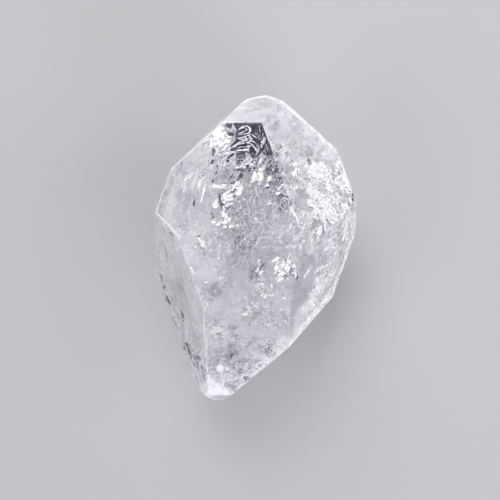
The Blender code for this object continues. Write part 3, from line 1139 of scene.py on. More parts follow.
# Each crack: across, along and depth, half length, half width and turn, crumple size and height,
# holes, and how far the crumples are drawn out
CRACKS = (
    (-3.75, 11.62, 0.25, 0.85, 0.52, 32, 0.34, 0.045, 0.5, 1.3),
    (-3.20, 11.05, 0.25, 0.75, 0.55, 62, 0.32, 0.045, 0.6, 1.3),
    (-4.05, 10.95, 0.28, 0.75, 0.45, 25, 0.32, 0.045, 0.7, 1.3),
    (-2.70, 11.55, 0.25, 0.35, 0.30, 40, 0.30, 0.035, 0.6, 1.0),
    (-4.80, 11.45, 0.25, 1.20, 0.38, 34, 0.40, 0.040, 0.6, 1.3),
    (-3.85, 10.25, 0.30, 0.80, 0.38, 20, 0.28, 0.040, 1.2, 1.3),
    (-3.00, 10.50, 0.30, 0.50, 0.34, 20, 0.28, 0.040, 0.8, 1.3),
    (-3.10, 9.00, 0.50, 1.00, 0.50, 15, 0.26, 0.035, 2.4, 1.6),
    (-1.30, 8.65, 0.50, 1.10, 0.42, 5, 0.28, 0.040, 2.0, 1.6),
    (-0.20, 7.35, 0.35, 0.55, 0.24, 80, 0.50, 0.022, 0.0, 1.0),
    (0.38, 7.45, 0.35, 0.75, 0.28, 86, 0.50, 0.022, 0.0, 1.0),
    (0.50, 8.12, 0.35, 0.32, 0.22, 55, 0.50, 0.020, 0.0, 1.0),
    (-0.42, 6.95, 0.35, 0.26, 0.10, 65, 0.50, 0.010, 0.0, 1.0),
    (0.40, 8.95, 0.35, 0.35, 0.12, 75, 0.50, 0.010, 0.0, 1.0),
    (-3.95, 6.34, 0.40, 0.85, 0.17, -6, 0.30, 0.035, 0.5, 1.3),
    (-3.25, 6.50, 0.40, 0.45, 0.20, 25, 0.30, 0.030, 0.4, 1.3),
    (-2.55, 5.75, 0.40, 1.15, 0.52, 62, 0.34, 0.045, 0.7, 1.5),
    (-2.10, 6.50, 0.40, 0.50, 0.30, 50, 0.30, 0.035, 0.6, 1.3),
    (-1.66, 6.10, 0.45, 0.75, 0.26, 74, 0.32, 0.040, 0.5, 1.4),
    (-2.75, 4.75, 0.45, 0.55, 0.34, 40, 0.32, 0.040, 0.6, 1.3),
    (-3.50, 5.10, 0.35, 0.35, 0.10, 80, 0.45, 0.015, 0.0, 1.0),
    (-4.10, 4.55, 0.35, 0.36, 0.24, 80, 0.60, 0.015, 0.0, 1.0),
    (-3.30, 4.40, 0.35, 0.50, 0.12, 95, 0.50, 0.012, 0.0, 1.0),
    (-3.05, 2.90, 0.35, 0.45, 0.32, 20, 0.32, 0.035, 0.5, 1.0),
    (-3.20, 3.50, 0.45, 0.50, 0.22, 130, 0.40, 0.035, 0.8, 1.0),
    (-3.15, 2.33, 0.35, 0.26, 0.13, 10, 0.50, 0.010, 0.0, 1.0),
    (-2.58, 2.37, 0.35, 0.20, 0.14, 30, 0.50, 0.010, 0.0, 1.0),
    (-3.85, 2.58, 0.35, 0.18, 0.13, 30, 0.50, 0.010, 0.0, 1.0),
    (-4.35, 2.80, 0.35, 0.14, 0.10, 60, 0.50, 0.010, 0.0, 1.0),
    (1.35, 7.13, 0.30, 0.26, 0.17, 70, 0.50, 0.010, 0.0, 1.0),
    (1.10, 6.52, 0.35, 0.16, 0.11, 30, 0.50, 0.010, 0.0, 1.0),
    (2.58, 6.50, 0.30, 0.12, 0.10, 0, 0.50, 0.008, 0.0, 1.0),
    (2.30, 6.15, 0.30, 0.28, 0.08, 42, 0.50, 0.008, 0.0, 1.0),
    (2.15, 5.70, 0.30, 0.24, 0.12, 15, 0.50, 0.008, 0.0, 1.0),
    (1.25, 4.65, 0.40, 0.28, 0.16, 10, 0.40, 0.015, 0.0, 1.0),
    (-0.05, 3.15, 0.30, 0.12, 0.11, 0, 0.50, 0.008, 0.0, 1.0),
    (2.55, -2.30, 0.15, 0.75, 0.42, 10, 0.34, 0.045, 1.6, 1.0),
    (2.60, -1.60, 0.15, 0.70, 0.30, 80, 0.34, 0.040, 1.8, 1.3),
    (3.20, -1.30, 0.15, 0.80, 0.26, 82, 0.34, 0.040, 1.8, 1.3),
    (3.75, -2.10, 0.15, 0.70, 0.32, 110, 0.32, 0.045, 1.8, 1.2),
    (1.90, -0.95, 0.15, 0.40, 0.16, 35, 0.34, 0.030, 0.6, 1.2),
)
crack_silver = inner_material("crack_silver", (0.72, 0.72, 0.75), (0.97, 0.97, 0.96), 0.18, 0.35, 0.24)
rng = np.random.default_rng(700)
sheets = []
for order, crack in enumerate(CRACKS):
    across, along, depth, length, width, turn, *crumple, holes, stretch = crack
    surface, face = entry(across, along)
    facing = GLEAMS[face] + 0.06 * rng.normal(size=3)
    middle = surface - depth * UP
    reach = (length, width)
    sheets.append(crumpled_sheet(middle, facing, reach, turn, crumple, holes, stretch, 700 + 7 * order))
inner_piece("silver_cracks", joined(sheets), crack_silver, UNDER_SKIN)


# Sparks and dark specks
# Loose crumbs of the same breaks, a fraction of a millimetre across, all turned to catch a lamp.
# Most sparkle, and a share chosen by chance is painted dark: painted shade of crumbs turned away.
# They gather where the crystal is most broken.

# Each gathering: across, along, depth, half width, half length, number, greatest reach, dark share
GATHERINGS = (
    (0.90, 10.50, 0.4, 0.30, 0.80, 40, 0.07, 0.50),
    (1.45, 9.20, 0.4, 0.35, 0.90, 60, 0.10, 0.50),
    (1.95, 7.80, 0.4, 0.35, 0.90, 50, 0.10, 0.45),
    (2.40, 6.40, 0.4, 0.40, 0.90, 50, 0.11, 0.40),
    (2.95, 5.00, 0.4, 0.40, 0.90, 45, 0.10, 0.45),
    (-1.00, 8.50, 0.4, 2.20, 0.60, 200, 0.11, 0.40),
    (-3.20, 9.40, 0.4, 0.80, 0.70, 70, 0.10, 0.45),
    (-2.60, 5.20, 0.5, 1.30, 1.50, 150, 0.12, 0.30),
    (0.90, 5.60, 0.5, 1.40, 1.50, 110, 0.08, 0.30),
    (-3.00, 2.90, 0.5, 1.10, 0.80, 90, 0.11, 0.35),
    (0.10, -2.10, 0.3, 0.65, 0.90, 40, 0.11, 0.75),
    (2.80, -1.80, 0.2, 1.20, 1.00, 170, 0.10, 0.35),
    (3.60, 5.40, 0.3, 0.80, 1.60, 80, 0.10, 0.50),
    (4.10, 8.20, 0.3, 1.20, 1.20, 60, 0.09, 0.40),
)
LOOSE_CRUMBS = 1400
CRUMBS_UNDER_SKIN = 0.06


def near_skin(points):
    """Density of the loose crumbs: exp(-depth / 0.3), so most lie close to the skin."""
    return np.exp(-(slack(points).min(axis=1) / 0.3))


crumb_places = []
crumb_reach = []
crumb_painted_dark = []
for across, along, depth, wide, long, number, greatest, dark_share in GATHERINGS:
    away = rng.normal(size=(number, 2)) * (0.6 * wide, 0.6 * long)
    deep = depth * rng.uniform(0.6, 2.0, number)
    crumb_places.append(seen_at(across + away[:, 0], along + away[:, 1], deep))
    crumb_reach.append(greatest * rng.uniform(0.25, 1.0, number) ** 1.5)
    crumb_painted_dark.append(rng.uniform(size=number) < dark_share)
crumb_places.append(spread_inside(LOOSE_CRUMBS, 801, CRUMBS_UNDER_SKIN, near_skin))
crumb_reach.append(0.10 * rng.uniform(0.3, 1.0, LOOSE_CRUMBS) ** 2)
crumb_painted_dark.append(rng.uniform(size=LOOSE_CRUMBS) < 0.40)
crumb_places = kept_inside(np.concatenate(crumb_places), CRUMBS_UNDER_SKIN)
crumb_reach = np.concatenate(crumb_reach)
crumb_painted_dark = np.concatenate(crumb_painted_dark)
crumb_facing = GLEAMS[slack(crumb_places).argmin(axis=1)]
spark_silver = inner_material("spark_silver", (0.90, 0.90, 0.92), (0.98, 0.98, 0.99), 0.28, 0.45, 0.5)
speck_painted_shade = inner_material("speck_painted_shade", (0.09, 0.09, 0.12), (0.24, 0.24, 0.28), 0.4, 0.0, 0.5)
for name, chosen, paint, seed in (
    ("sparks", ~crumb_painted_dark, spark_silver, 810),
    ("dark_specks", crumb_painted_dark, speck_painted_shade, 811),
):
    points, faces = flakes(crumb_places[chosen], crumb_reach[chosen], 0.2, crumb_facing[chosen], 0.2, seed)
    mesh_piece(name, points, faces, paint, smooth=False)


# Slits
# Thin flat hollows close under the skin, each a narrow dark dash of painted shade in the same
# near-black as the window's plates. They lie level, and are crumpled less than the silver cracks.

# Each slit: across, along, depth, half length, half width and turn
SLITS = (
    (-3.66, 5.25, 0.25, 0.42, 0.085, 100),
    (-3.52, 4.50, 0.25, 0.55, 0.045, 94),
    (-4.38, 3.50, 0.25, 0.40, 0.070, 110),
    (-6.24, 4.70, 0.08, 0.30, 0.090, 84),
    (-1.52, 11.88, 0.20, 0.30, 0.075, 20),
    (-1.00, 11.88, 0.20, 0.24, 0.075, 23),
    (-1.45, 11.42, 0.18, 0.32, 0.075, 12),
    (-2.55, 5.80, 0.35, 0.20, 0.050, 50),
    (-2.65, 4.20, 0.30, 0.20, 0.080, 35),
    (-4.38, 6.90, 0.25, 0.22, 0.080, 60),
    (-4.00, 7.75, 0.25, 0.20, 0.070, 60),
    (-2.55, 7.30, 0.30, 0.42, 0.055, 55),
    (-2.40, 6.70, 0.30, 0.22, 0.080, 30),
    (-1.80, 8.10, 0.30, 0.22, 0.060, 30),
    (-0.75, 7.95, 0.30, 0.10, 0.080, 0),
    (-2.22, 6.00, 0.30, 0.22, 0.070, 60),
    (-2.12, 5.35, 0.30, 0.12, 0.070, 0),
    (-0.95, 8.40, 0.25, 0.14, 0.060, 20),
    (-3.90, 8.45, 0.25, 0.22, 0.060, 85),
    (1.12, 6.25, 0.30, 0.16, 0.060, 20),
    (1.42, 5.80, 0.30, 0.16, 0.060, 0),
    (1.10, 8.10, 0.30, 0.14, 0.060, 0),
    (2.45, 5.50, 0.30, 0.22, 0.070, 10),
    (2.40, 4.00, 0.30, 0.22, 0.060, 140),
    (2.55, 7.15, 0.30, 0.22, 0.070, 110),
    (1.50, 9.70, 0.30, 0.26, 0.060, 100),
    (2.10, 8.30, 0.30, 0.26, 0.080, 120),
)
# Size and height of a slit's crumples
SLIT_CRUMPLE = (0.6, 0.01)

slits = []
for order, (across, along, depth, length, width, turn) in enumerate(SLITS):
    middle = seen_at(across, along, depth)
    slits.append(crumpled_sheet(middle, UP, (length, width), turn, SLIT_CRUMPLE, 0.0, 1.0, 900 + 7 * order))
inner_piece("dark_slits", joined(slits), dark_painted_shade, UNDER_SKIN / 2)


# Bruises and pits
# Small knocks, pits and growth marks on the skin itself, where white bruised spots and dark pits
# lie among each other. Each is a thin closed film on the skin, and the pits' grey and black is
# painted shade, as the films have no hollow.

FILM_STEP = 0.035
# Half thickness of a film, and how far it is raised along its face
FILM_HALF = 0.006
FILM_RAISE = 0.008
# How far from the outline a film ends
OFF_OUTLINE = 0.08
# How far films stay within the crystal's sharp faces
ON_SKIN = 0.001


def skin_film(across, along, length, width, turn, opening_of):
    """A film over a grid of two half lengths, turned by degrees as the camera sees it.

    Its middle surface is the worn skin, raised along the face, and it ends just short of the
    outline. opening_of gives the opening for places in the film, from its middle.
    """
    reach = np.array([length, width])
    u, v = grid(-1.3 * reach, 1.3 * reach + FILM_STEP, FILM_STEP)
    cosine, sine = math.cos(math.radians(turn)), math.sin(math.radians(turn))
    face = int(entry(across, along)[1])
    points = entry(across + u * cosine - v * sine, along + u * sine + v * cosine)[0].reshape(-1, 3)
    height = growth_relief(points, face) + FILM_RAISE
    raised = worn_surface(points) + height[:, None] * DIRECTIONS[face]
    to_outline = slack(points)[:, DOWN_TURNED].min(axis=1).reshape(u.shape)
    opening = np.minimum(opening_of(u, v), (to_outline - OFF_OUTLINE) / 0.1)
    return lens_sheet(raised.reshape(*u.shape, 3), DIRECTIONS[face], 3 * opening, FILM_HALF)


def speckled_film(across, along, length, width, turn, size, stretch, level, sign, seed):
    """A film that opens in a wavy oval where waves, turned by sign, pass the level."""

    def opening_of(u, v):
        """The least of the oval and the waves less the level, which rises towards the rim."""
        drawn = u / stretch
        pattern = 0.65 * grid_waves(drawn, v, size, seed) + 0.5 * grid_waves(drawn, v, 0.5 * size, seed + 1)
        pattern = sign * (pattern + 0.65 * grid_waves(drawn, v, 3 * size, seed + 2))
        rim = 0.30 * grid_waves(drawn, v, 3 * size, seed + 1)
        oval = 1 - (u / length) ** 2 - (v / width) ** 2 + rim
        return np.minimum(oval, pattern - level - 1.2 * np.clip(0.6 - oval, 0, 1))

    return skin_film(across, along, length, width, turn, opening_of)


def oval_film(across, along, length, width, turn, wavy, seed):
    """A film that opens in an oval with a rim as wavy as this."""

    def opening_of(u, v):
        """1 in the middle of the oval, falling with the square of the distance to 0 at its rim."""
        rim = grid_waves(u, v, 0.6 * (length + width), seed)
        return 1 - (u / length) ** 2 - (v / width) ** 2 + wavy * rim

    return skin_film(across, along, length, width, turn, opening_of)


# Each group: across, along, half length, half width and turn, size of a spot and how far drawn
# out, and the levels above which it is dark and white: the lower, the more
SPECKLED = (
    (-9.30, -3.30, 1.20, 0.16, 100, 0.17, 2.5, 1.1, 1.2),
    (-8.80, -5.10, 1.10, 0.22, 113, 0.17, 2.5, 1.0, 1.1),
    (-7.80, -6.60, 0.95, 0.55, 112, 0.18, 2.2, 1.0, 1.2),
    (-6.95, -8.20, 0.90, 0.35, 105, 0.18, 2.0, 1.8, 1.2),
    (-6.85, -9.90, 0.90, 0.40, 108, 0.20, 2.4, 0.8, 1.0),
    (-6.00, -10.50, 0.90, 0.50, 108, 0.20, 2.2, 1.2, 1.0),
    (-5.55, -11.70, 0.95, 0.50, 105, 0.20, 2.2, 1.1, 0.9),
    (-5.05, -13.00, 0.90, 0.32, 98, 0.20, 2.2, 1.3, 0.8),
    (-3.70, -8.75, 1.00, 0.50, 20, 0.20, 1.3, 1.9, 1.2),
    (-2.75, -10.60, 1.00, 0.45, 20, 0.22, 1.2, 1.5, 1.6),
    (-2.20, -8.60, 0.60, 0.50, 30, 0.18, 1.0, 1.7, 1.3),
    (-3.90, -8.05, 0.80, 0.55, 60, 0.18, 1.0, 1.6, 0.9),
    (-1.40, -11.90, 1.40, 0.80, 30, 0.30, 1.2, 1.9, 1.1),
    (-2.60, -12.80, 1.30, 0.70, 65, 0.30, 1.4, 1.9, 1.0),
    (-1.20, -13.20, 0.90, 0.60, 50, 0.28, 1.4, 2.0, 0.7),
    (0.20, -11.60, 1.30, 0.60, 38, 0.28, 1.4, 2.0, 0.8),
    (1.15, -9.75, 0.80, 0.60, 75, 0.18, 1.3, 0.7, 0.9),
    (2.30, -9.50, 1.10, 0.50, 45, 0.24, 1.4, 2.2, 0.2),
    (1.30, -7.20, 0.75, 0.55, 60, 0.18, 1.3, 1.1, 1.1),
    (0.40, -6.00, 0.70, 0.50, 130, 0.18, 1.3, 1.3, 1.3),
    (-0.25, -5.40, 0.75, 0.32, 150, 0.16, 1.8, 1.0, 1.0),
    (-0.95, -6.25, 0.65, 0.75, 3, 0.16, 5.0, 2.2, 1.0),
    (-0.90, -9.60, 0.90, 0.30, 0, 0.17, 4.0, 1.8, 1.2),
    (-5.60, 0.75, 0.80, 0.55, 95, 0.17, 1.0, 0.8, 0.9),
    (-4.40, -4.00, 0.90, 0.60, 145, 0.18, 1.5, 2.6, 2.6),
    (0.20, -2.05, 1.15, 0.50, 60, 0.20, 2.6, 0.3, 1.9),
    (2.70, -1.80, 1.30, 1.00, 75, 0.24, 1.6, 1.5, 0.8),
    (3.75, -2.20, 0.70, 0.50, 110, 0.20, 1.4, 1.1, 0.9),
    (3.40, 0.30, 0.60, 0.42, 20, 0.16, 1.2, 1.1, 1.0),
    (0.30, -3.40, 1.10, 0.70, 60, 0.18, 1.3, 1.9, 1.4),
    (1.40, -4.20, 1.20, 0.80, 70, 0.20, 1.5, 2.4, 1.5),
    (-3.80, -2.30, 1.30, 0.80, 85, 0.17, 1.2, 2.3, 1.8),
    (-3.60, 0.40, 1.00, 0.80, 60, 0.18, 1.3, 1.9, 1.9),
    (4.60, 0.80, 0.90, 0.50, 60, 0.18, 2.0, 1.8, 1.4),
    (2.60, 10.10, 1.20, 0.40, 150, 0.18, 1.5, 1.0, 1.1),
    (1.55, 10.90, 0.80, 0.20, 108, 0.17, 1.3, 1.2, 1.1),
    (2.10, 9.00, 0.90, 0.25, 108, 0.17, 1.3, 1.4, 1.0),
    (2.70, 7.40, 1.20, 0.25, 108, 0.17, 1.3, 1.4, 1.3),
    (3.35, 5.60, 1.20, 0.30, 106, 0.18, 1.3, 1.5, 1.2),
    (3.75, 3.60, 1.30, 0.50, 100, 0.20, 2.2, 1.7, 0.9),
    (3.90, 2.10, 0.90, 0.60, 90, 0.20, 1.5, 1.7, 1.2),
    (3.30, 8.90, 0.80, 0.60, 70, 0.20, 1.2, 1.6, 1.3),
    (3.95, 8.10, 0.90, 0.45, 92, 0.22, 1.5, 1.6, 0.6),
    (5.40, 8.50, 0.95, 0.60, 125, 0.18, 2.4, 0.9, 0.9),
    (4.60, 7.20, 1.10, 0.60, 90, 0.20, 1.2, 1.6, 1.4),
    (3.90, 6.30, 0.60, 0.50, 60, 0.18, 1.2, 1.6, 1.2),
    (5.35, 4.75, 0.60, 0.50, 80, 0.18, 1.3, 0.7, 1.0),
    (5.00, 6.20, 1.10, 0.70, 95, 0.20, 1.5, 1.7, 1.3),
    (5.20, 3.00, 1.30, 0.90, 85, 0.20, 1.6, 1.7, 1.3),
    (6.10, 1.40, 1.20, 0.70, 80, 0.20, 1.8, 1.3, 0.9),
    (8.30, 7.70, 0.95, 0.35, 98, 0.18, 1.3, 0.6, 1.0),
    (-6.80, 7.25, 0.65, 0.40, 62, 0.22, 1.2, 2.2, 0.6),
    (-7.30, 6.10, 0.60, 0.32, 70, 0.20, 1.2, 2.2, 0.6),
    (-6.25, 5.10, 0.70, 0.16, 88, 0.17, 1.8, 0.8, 1.3),
    (-5.60, 6.50, 1.10, 0.22, 75, 0.17, 2.0, 1.4, 1.0),
    (6.40, -2.40, 1.10, 0.30, 75, 0.20, 3.0, 1.8, 0.6),
    (5.70, -4.60, 1.20, 0.30, 62, 0.20, 3.0, 2.0, 0.6),
)
# Each mark: across, along, half length, half width and turn
BLACK_MARKS = (
    (-8.86, -4.95, 0.50, 0.06, 112), (-7.45, -6.40, 0.45, 0.06, 114), (-6.80, -9.85, 0.60, 0.07, 108),
    (-5.80, -10.70, 0.16, 0.07, 110), (-2.50, -10.60, 0.22, 0.09, 40), (9.68, 5.30, 0.40, 0.07, 95),
    (-6.25, 4.72, 0.26, 0.07, 82), (8.32, 7.60, 0.35, 0.06, 85), (-5.75, 1.38, 0.14, 0.09, 10),
    (0.55, -1.70, 0.45, 0.05, 62), (-8.55, 1.62, 0.30, 0.05, 132),
)
# The long white mark at -8.98, 2.62 on the left face is a painted highlight along a ridge
WHITE_MARKS = (
    (-6.55, 7.50, 0.34, 0.15, 60), (-7.05, 7.15, 0.32, 0.14, 65), (-7.25, 6.00, 0.24, 0.13, 45),
    (-5.70, 6.70, 0.36, 0.13, 68), (-7.35, 3.30, 0.30, 0.04, 85), (-5.05, -3.25, 0.11, 0.07, 0),
    (-3.75, -0.85, 0.10, 0.09, 0), (-3.62, -2.80, 0.13, 0.08, 0), (0.25, -1.05, 0.14, 0.09, 50),
    (0.50, -3.40, 0.22, 0.10, 0), (2.60, -2.35, 0.40, 0.18, 0), (3.95, -2.60, 0.22, 0.08, 80),
    (2.80, -4.80, 0.13, 0.10, 0), (3.98, 7.90, 0.38, 0.11, 88), (3.90, 8.62, 0.18, 0.12, 40),
    (4.42, 8.62, 0.11, 0.10, 0), (1.62, 10.45, 0.18, 0.10, 100), (6.85, 9.80, 0.12, 0.08, 90),
    (4.92, 10.80, 0.09, 0.08, 90), (3.85, 12.60, 0.11, 0.09, 0), (4.30, 3.30, 0.12, 0.09, 0),
    (6.20, -1.90, 0.30, 0.08, 80), (5.20, -2.15, 0.24, 0.09, 60), (-3.70, -8.02, 0.22, 0.18, 30),
    (-4.45, -8.25, 0.16, 0.11, 0), (-4.10, -8.62, 0.14, 0.10, 20),
    (-3.45, -8.70, 0.12, 0.09, 0), (2.90, -7.15, 0.10, 0.09, 0), (-1.20, -9.50, 0.28, 0.05, 0),
    (-5.20, -7.60, 1.60, 0.035, 91), (-4.99, -10.70, 1.60, 0.045, 92), (-4.80, -13.20, 1.00, 0.06, 91),
    (-8.98, 2.62, 1.62, 0.09, -47), (-3.30, -14.47, 1.50, 0.06, 0), (-8.95, 2.00, 0.95, 0.04, -53),
    (-6.15, 6.95, 1.15, 0.05, 77), (-5.32, 5.70, 1.00, 0.06, 76), (-6.40, -2.02, 0.30, 0.12, -62),
    (5.05, -2.35, 0.50, 0.08, 62), (5.45, -1.75, 0.22, 0.06, 66),
)
pit_grey_shade = inner_material("pit_grey_shade", (0.20, 0.20, 0.23), (0.50, 0.50, 0.54), 0.4, 0.0, 0.3)
pit_black_shade = inner_material("pit_black_shade", (0.03, 0.03, 0.04), (0.12, 0.12, 0.14), 0.4, 0.0, 0.5)
bruise_white = inner_material("bruise_white", (0.74, 0.74, 0.78), (0.97, 0.97, 0.98), 0.4, 0.08, 0.3)
grey_pits = []
bruises = []
for order, (*place, dark_level, white_level) in enumerate(SPECKLED):
    grey_pits.append(speckled_film(*place, dark_level, 1, 1000 + 3 * order))
    bruises.append(speckled_film(*place, white_level, -1, 1000 + 3 * order))
dark_pits = [oval_film(*mark, 0.3, 1300 + order) for order, mark in enumerate(BLACK_MARKS)]
bruises += [oval_film(*mark, 0.3, 1330 + order) for order, mark in enumerate(WHITE_MARKS)]
inner_piece("grey_pits", joined(grey_pits), pit_grey_shade, ON_SKIN)
inner_piece("dark_pits", joined(dark_pits), pit_black_shade, ON_SKIN)
inner_piece("bruises", joined(bruises), bruise_white, ON_SKIN)


# Scratches
# Fine healed scratches, growth lines and hair cracks that reach the skin, some white and some
# grey, whose grey is painted shade. Each is a narrow curved ribbon on the skin, and they lean one
# way in each part of it.

# Each group: across, along, half width, half length, number, length, lean in degrees, its spread,
# the greatest half width of a scratch, and the grey share
SCRATCHES = (
    (0.6, 4.4, 2.6, 1.8, 150, 0.26, 65, 35, 0.034, 0.35),
    (-2.9, 8.9, 1.3, 1.0, 70, 0.32, 30, 50, 0.034, 0.65),
    (0.8, 8.8, 1.2, 1.0, 60, 0.24, 60, 50, 0.034, 0.55),
    (2.6, 1.6, 2.0, 1.3, 90, 0.55, 45, 22, 0.036, 0.35),
    (-1.5, 0.6, 2.4, 1.8, 90, 0.28, 60, 60, 0.034, 0.45),
    (0.25, -2.0, 0.5, 0.9, 90, 0.28, 62, 18, 0.040, 0.75),
    (-4.6, 3.0, 1.0, 2.5, 40, 0.22, 60, 60, 0.034, 0.50),
    (0.2, -6.0, 2.2, 1.6, 50, 0.32, -20, 45, 0.034, 0.45),
    (-2.2, -9.6, 1.6, 1.8, 50, 0.28, 20, 50, 0.034, 0.60),
    (-1.2, -12.6, 1.8, 1.0, 60, 0.22, 40, 60, 0.040, 0.60),
    (-5.7, -11.0, 0.7, 1.9, 60, 0.80, -72, 9, 0.036, 0.50),
    (-7.6, -6.5, 0.9, 3.5, 36, 0.80, -68, 8, 0.036, 0.60),
    (-9.0, 0.2, 0.6, 2.0, 24, 0.70, -82, 8, 0.034, 0.50),
    (5.6, 8.6, 0.9, 0.5, 50, 0.24, 60, 60, 0.036, 0.50),
    (6.8, 5.5, 1.6, 2.6, 120, 0.32, 60, 40, 0.040, 0.35),
    (8.9, 1.6, 0.6, 2.2, 90, 1.00, 68, 7, 0.065, 0.40),
    (7.4, -2.9, 0.9, 2.6, 100, 0.95, 60, 8, 0.060, 0.35),
)
STEPS = 7
SCRATCH_RAISE = 0.006
SCRATCH_FLATNESS = 0.25
# Slack of places so far beyond the crystal's rim that nothing can lie there
OFF_CRYSTAL = -0.02


def bowed_lines(rng, across, along, wide, long, number, length, lean, spread):
    """Lines of STEPS places, spread by chance about a middle, as rows of across and along.

    Each leans about lean degrees and bows to one side by up to half its half length.
    """
    centre = (across, along) + rng.normal(size=(number, 2)) * (0.6 * wide, 0.6 * long)
    angle = np.radians(lean + rng.normal(size=number) * spread)
    heading = np.stack([np.cos(angle), np.sin(angle)], axis=-1)[:, None]
    sideways = np.stack([-np.sin(angle), np.cos(angle)], axis=-1)[:, None]
    reach = length * rng.uniform(0.3, 1.0, number)
    bow = (reach * rng.uniform(-0.5, 0.5, number))[:, None, None]
    share = np.linspace(-1, 1, STEPS)[None, :, None]
    return centre[:, None] + share * reach[:, None, None] * heading + bow * share**2 * sideways


rng = np.random.default_rng(1600)
scratch_lines = []
scratch_grey = []
scratch_width = []
for *group, greatest, grey_share in SCRATCHES:
    scratch_lines.append(bowed_lines(rng, *group))
    number = len(scratch_lines[-1])
    scratch_grey.append(rng.uniform(size=number) < grey_share)
    scratch_width.append(greatest * rng.uniform(0.4, 1.0, number))
scratch_lines = np.concatenate(scratch_lines)
surface, face = entry(scratch_lines[..., 0], scratch_lines[..., 1])
kept = slack(surface.reshape(-1, 3)).min(axis=1).reshape(face.shape).min(axis=1) > OFF_CRYSTAL
surface, face, grey = surface[kept], face[kept], np.concatenate(scratch_grey)[kept]
relief = np.zeros(face.shape)
for number in np.unique(face):
    relief[face == number] = growth_relief(surface[face == number], number)
paths = worn_surface(surface.reshape(-1, 3)).reshape(surface.shape)
paths = paths + (relief + SCRATCH_RAISE)[..., None] * DIRECTIONS[face]
profile = np.sqrt(1 - np.linspace(-1, 1, STEPS) ** 2)
radius = np.concatenate(scratch_width)[kept][:, None] * profile
for name, chosen, paint in (("pale_scratches", ~grey, bruise_white), ("grey_scratches", grey, pit_grey_shade)):
    ribbons = swept(paths[chosen], radius[chosen], 4, DIRECTIONS[face[chosen]], SCRATCH_FLATNESS)
    inner_piece(name, ribbons, paint, ON_SKIN)


# Broken crust
# Along the right of the crystal the skin is broken into a white crust of splintered ridges that
# run with the outline, strewn with shards. It fills the lowered ground and leaves holes.

CRUST_STEP = 0.045
CRUST_HALF = 0.008
# How far the crust is raised at its rim and further in, its ridges' height, and the most of all
RIM_RAISE = 0.012
CRUST_RAISE = 0.035
RIDGE_HEIGHT = 0.022
HIGHEST_RIDGE = 0.08
# Corners of the area that holds the broken ground
CRUST_LOW = (4.0, -9.0)
CRUST_HIGH = (10.0, 9.4)


def along_outline(points, faces):
    """Places for waves that draw them out along the outline, further on the side than above it.

    They are the distance to the nearest face that turns to the table, and the place along Y
    divided by the stretch.
    """
    to_outline = slack(points)[:, DOWN_TURNED].min(axis=1)
    stretch = np.where(faces == RIGHT_UPPER, 2.2, 4.0)
    return np.stack([to_outline, points[:, 1] / stretch, 0 * to_outline], axis=-1)


def brokenness(grain):
    """Waves of three sizes: the crust is whole where they are low, and gone where they are high."""
    return 0.9 * waves(grain, 0.75, 1403) + 0.4 * waves(grain, 0.28, 1404) + 0.8 * waves(grain, 1.8, 1405)


across, along = grid(CRUST_LOW, CRUST_HIGH, CRUST_STEP)
crust_points, crust_face = entry(across, along)
flat = crust_points.reshape(-1, 3)
own = crust_face.reshape(-1)
relief = np.where(own == RIGHT_UPPER, growth_relief(flat, RIGHT_UPPER), growth_relief(flat, RIGHT_SIDE))
grain = along_outline(flat, own)
to_outline = grain[:, 0]
ridges = waves(grain, 0.42, 1400) + 0.5 * waves(grain, 0.18, 1401)
share = np.clip(broken_share(flat) * 2, 0, 1)
fade = np.clip(to_outline / RELIEF_FADE, 0, 1)
ridges = np.clip(CRUST_RAISE + RIDGE_HEIGHT * ridges, 0, HIGHEST_RIDGE)
lift = RIM_RAISE + (fade * share) ** 2 * ridges
middle_surface = worn_surface(flat) + (relief + lift)[:, None] * DIRECTIONS[own]
inside = inside_outline(across, along, BROKEN_GROUND).reshape(-1) + 0.15 * waves(flat, 0.5, 1402)
holes = np.clip(brokenness(grain) - 0.30 + 0.10 * to_outline, -0.4, 1)
opening = np.where(slack(flat).min(axis=1) > OFF_CRYSTAL, np.minimum(inside, -holes) / 0.1, -1)
middle_surface = middle_surface.reshape(*across.shape, 3)
crust = lens_sheet(middle_surface, DIRECTIONS[crust_face], opening.reshape(across.shape), CRUST_HALF)
crust_white = inner_material("crust_white", (0.66, 0.66, 0.71), (0.97, 0.97, 0.98), 0.38, 0.10, 0.28)
inner_piece("broken_crust", crust, crust_white, ON_SKIN)

SHARDS = 6500
LARGEST_SHARD = 0.17

rng = np.random.default_rng(1450)
across = rng.uniform(CRUST_LOW[0], CRUST_HIGH[0], SHARDS * 5)
along = rng.uniform(CRUST_LOW[1], CRUST_HIGH[1], SHARDS * 5)
inside = inside_outline(across, along, BROKEN_GROUND)
surface, face = entry(across, along)
clumps = -brokenness(along_outline(surface, face))
chosen = np.flatnonzero((inside > 0.05) & (rng.uniform(-1.2, 1.2, len(inside)) < clumps + 0.2))[:SHARDS]
surface, face = surface[chosen], face[chosen]
facing = DIRECTIONS[face]
centres = worn_surface(surface) - (RECESS + BROKEN_RECESS * 0.45) * facing
reach = rng.uniform(0.35, 1.0, len(chosen)) ** 1.6 * LARGEST_SHARD
points, faces = flakes(centres, reach, 0.10, facing, 0.28, 1452)
crust_silver = inner_material("crust_silver", (0.80, 0.80, 0.84), (0.97, 0.97, 0.98), 0.25, 0.30, 0.3)
mesh_piece("shards", kept_inside(points, ON_SKIN), faces, crust_silver, smooth=False)


# Wisps
# Fine curved threads of tiny hollows, like torn feathers, that lean one way in each part of the
# crystal. Each is a needle with three sides that bends a little.

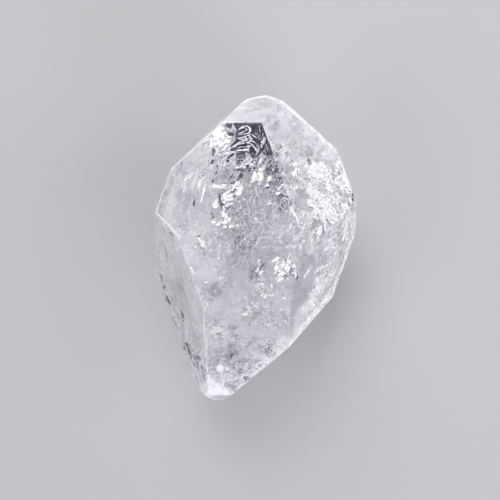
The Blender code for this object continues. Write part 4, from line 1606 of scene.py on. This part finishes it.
# Each group: across, along, depth, half width, half length, number, length, lean in degrees
WISPS = (
    (1.4, 1.6, 0.5, 2.6, 1.3, 70, 0.60, 25),
    (-1.5, 0.5, 0.6, 2.4, 1.6, 40, 0.45, 60),
    (3.7, 1.5, 0.6, 0.6, 0.8, 14, 0.90, 47),
    (3.0, 4.2, 0.6, 0.7, 1.0, 16, 0.55, -55),
    (0.3, -5.5, 0.8, 1.8, 1.0, 30, 0.50, -20),
    (-3.0, 7.0, 0.6, 1.6, 1.2, 36, 0.45, 60),
    (1.0, 4.6, 0.6, 1.6, 1.8, 60, 0.40, 75),
    (8.6, 0.5, 0.35, 0.5, 2.6, 40, 0.80, 72),
    (7.0, -3.2, 0.35, 0.7, 2.0, 40, 0.80, 62),
    (-6.1, 7.0, 0.4, 0.3, 1.0, 10, 0.80, 78),
    (-1.5, -8.5, 0.8, 2.0, 2.5, 50, 0.35, 30),
    (-1.8, 9.0, 0.3, 2.2, 0.5, 80, 0.30, 10),
    (-2.6, 5.4, 0.3, 0.8, 1.0, 40, 0.30, 60),
    (0.6, 11.0, 0.25, 0.7, 1.5, 46, 0.22, 72),
    (0.8, 4.8, 0.25, 2.0, 2.0, 90, 0.32, 65),
    (0.5, 1.8, 0.15, 2.8, 1.6, 60, 0.40, 40),
)
share = np.linspace(-1, 1, STEPS)
needle_lines = []
needle_radius = []
for across, along, depth, wide, long, number, length, lean in WISPS:
    lines = bowed_lines(rng, across, along, wide, long, number, length, lean, 25)
    deep = depth * rng.uniform(0.5, 1.8, number)[:, None]
    deep = deep + length * rng.uniform(-0.2, 0.2, (number, 1)) * share
    needle_lines.append(seen_at(lines[..., 0], lines[..., 1], deep))
    needle_radius.append(rng.uniform(0.014, 0.034, number)[:, None] * profile)
needles = swept(np.concatenate(needle_lines), np.concatenate(needle_radius), 3)
inner_piece("wisps", needles, thread_silver, UNDER_SKIN)


# Bubbles
# Gas bubbles: a large round one by the root, another drawn out beside it, and a small one above
# the middle. They open to the skin, so each shows as a bright round film.

# Each bubble: across, along, half length, half width and turn
BUBBLES = (
    (-3.64, -11.84, 0.37, 0.37, 0),
    (-2.98, -11.90, 0.22, 0.11, -50),
    (-0.05, 3.15, 0.12, 0.10, 0),
)
bubbles = [oval_film(*bubble, 0.03, 1500 + order) for order, bubble in enumerate(BUBBLES)]
bubble_white = inner_material("bubble_white", (0.93, 0.93, 0.95), (0.97, 0.97, 0.98), 0.35, 0.12, 0.5)
inner_piece("bubbles", joined(bubbles), bubble_white, ON_SKIN)
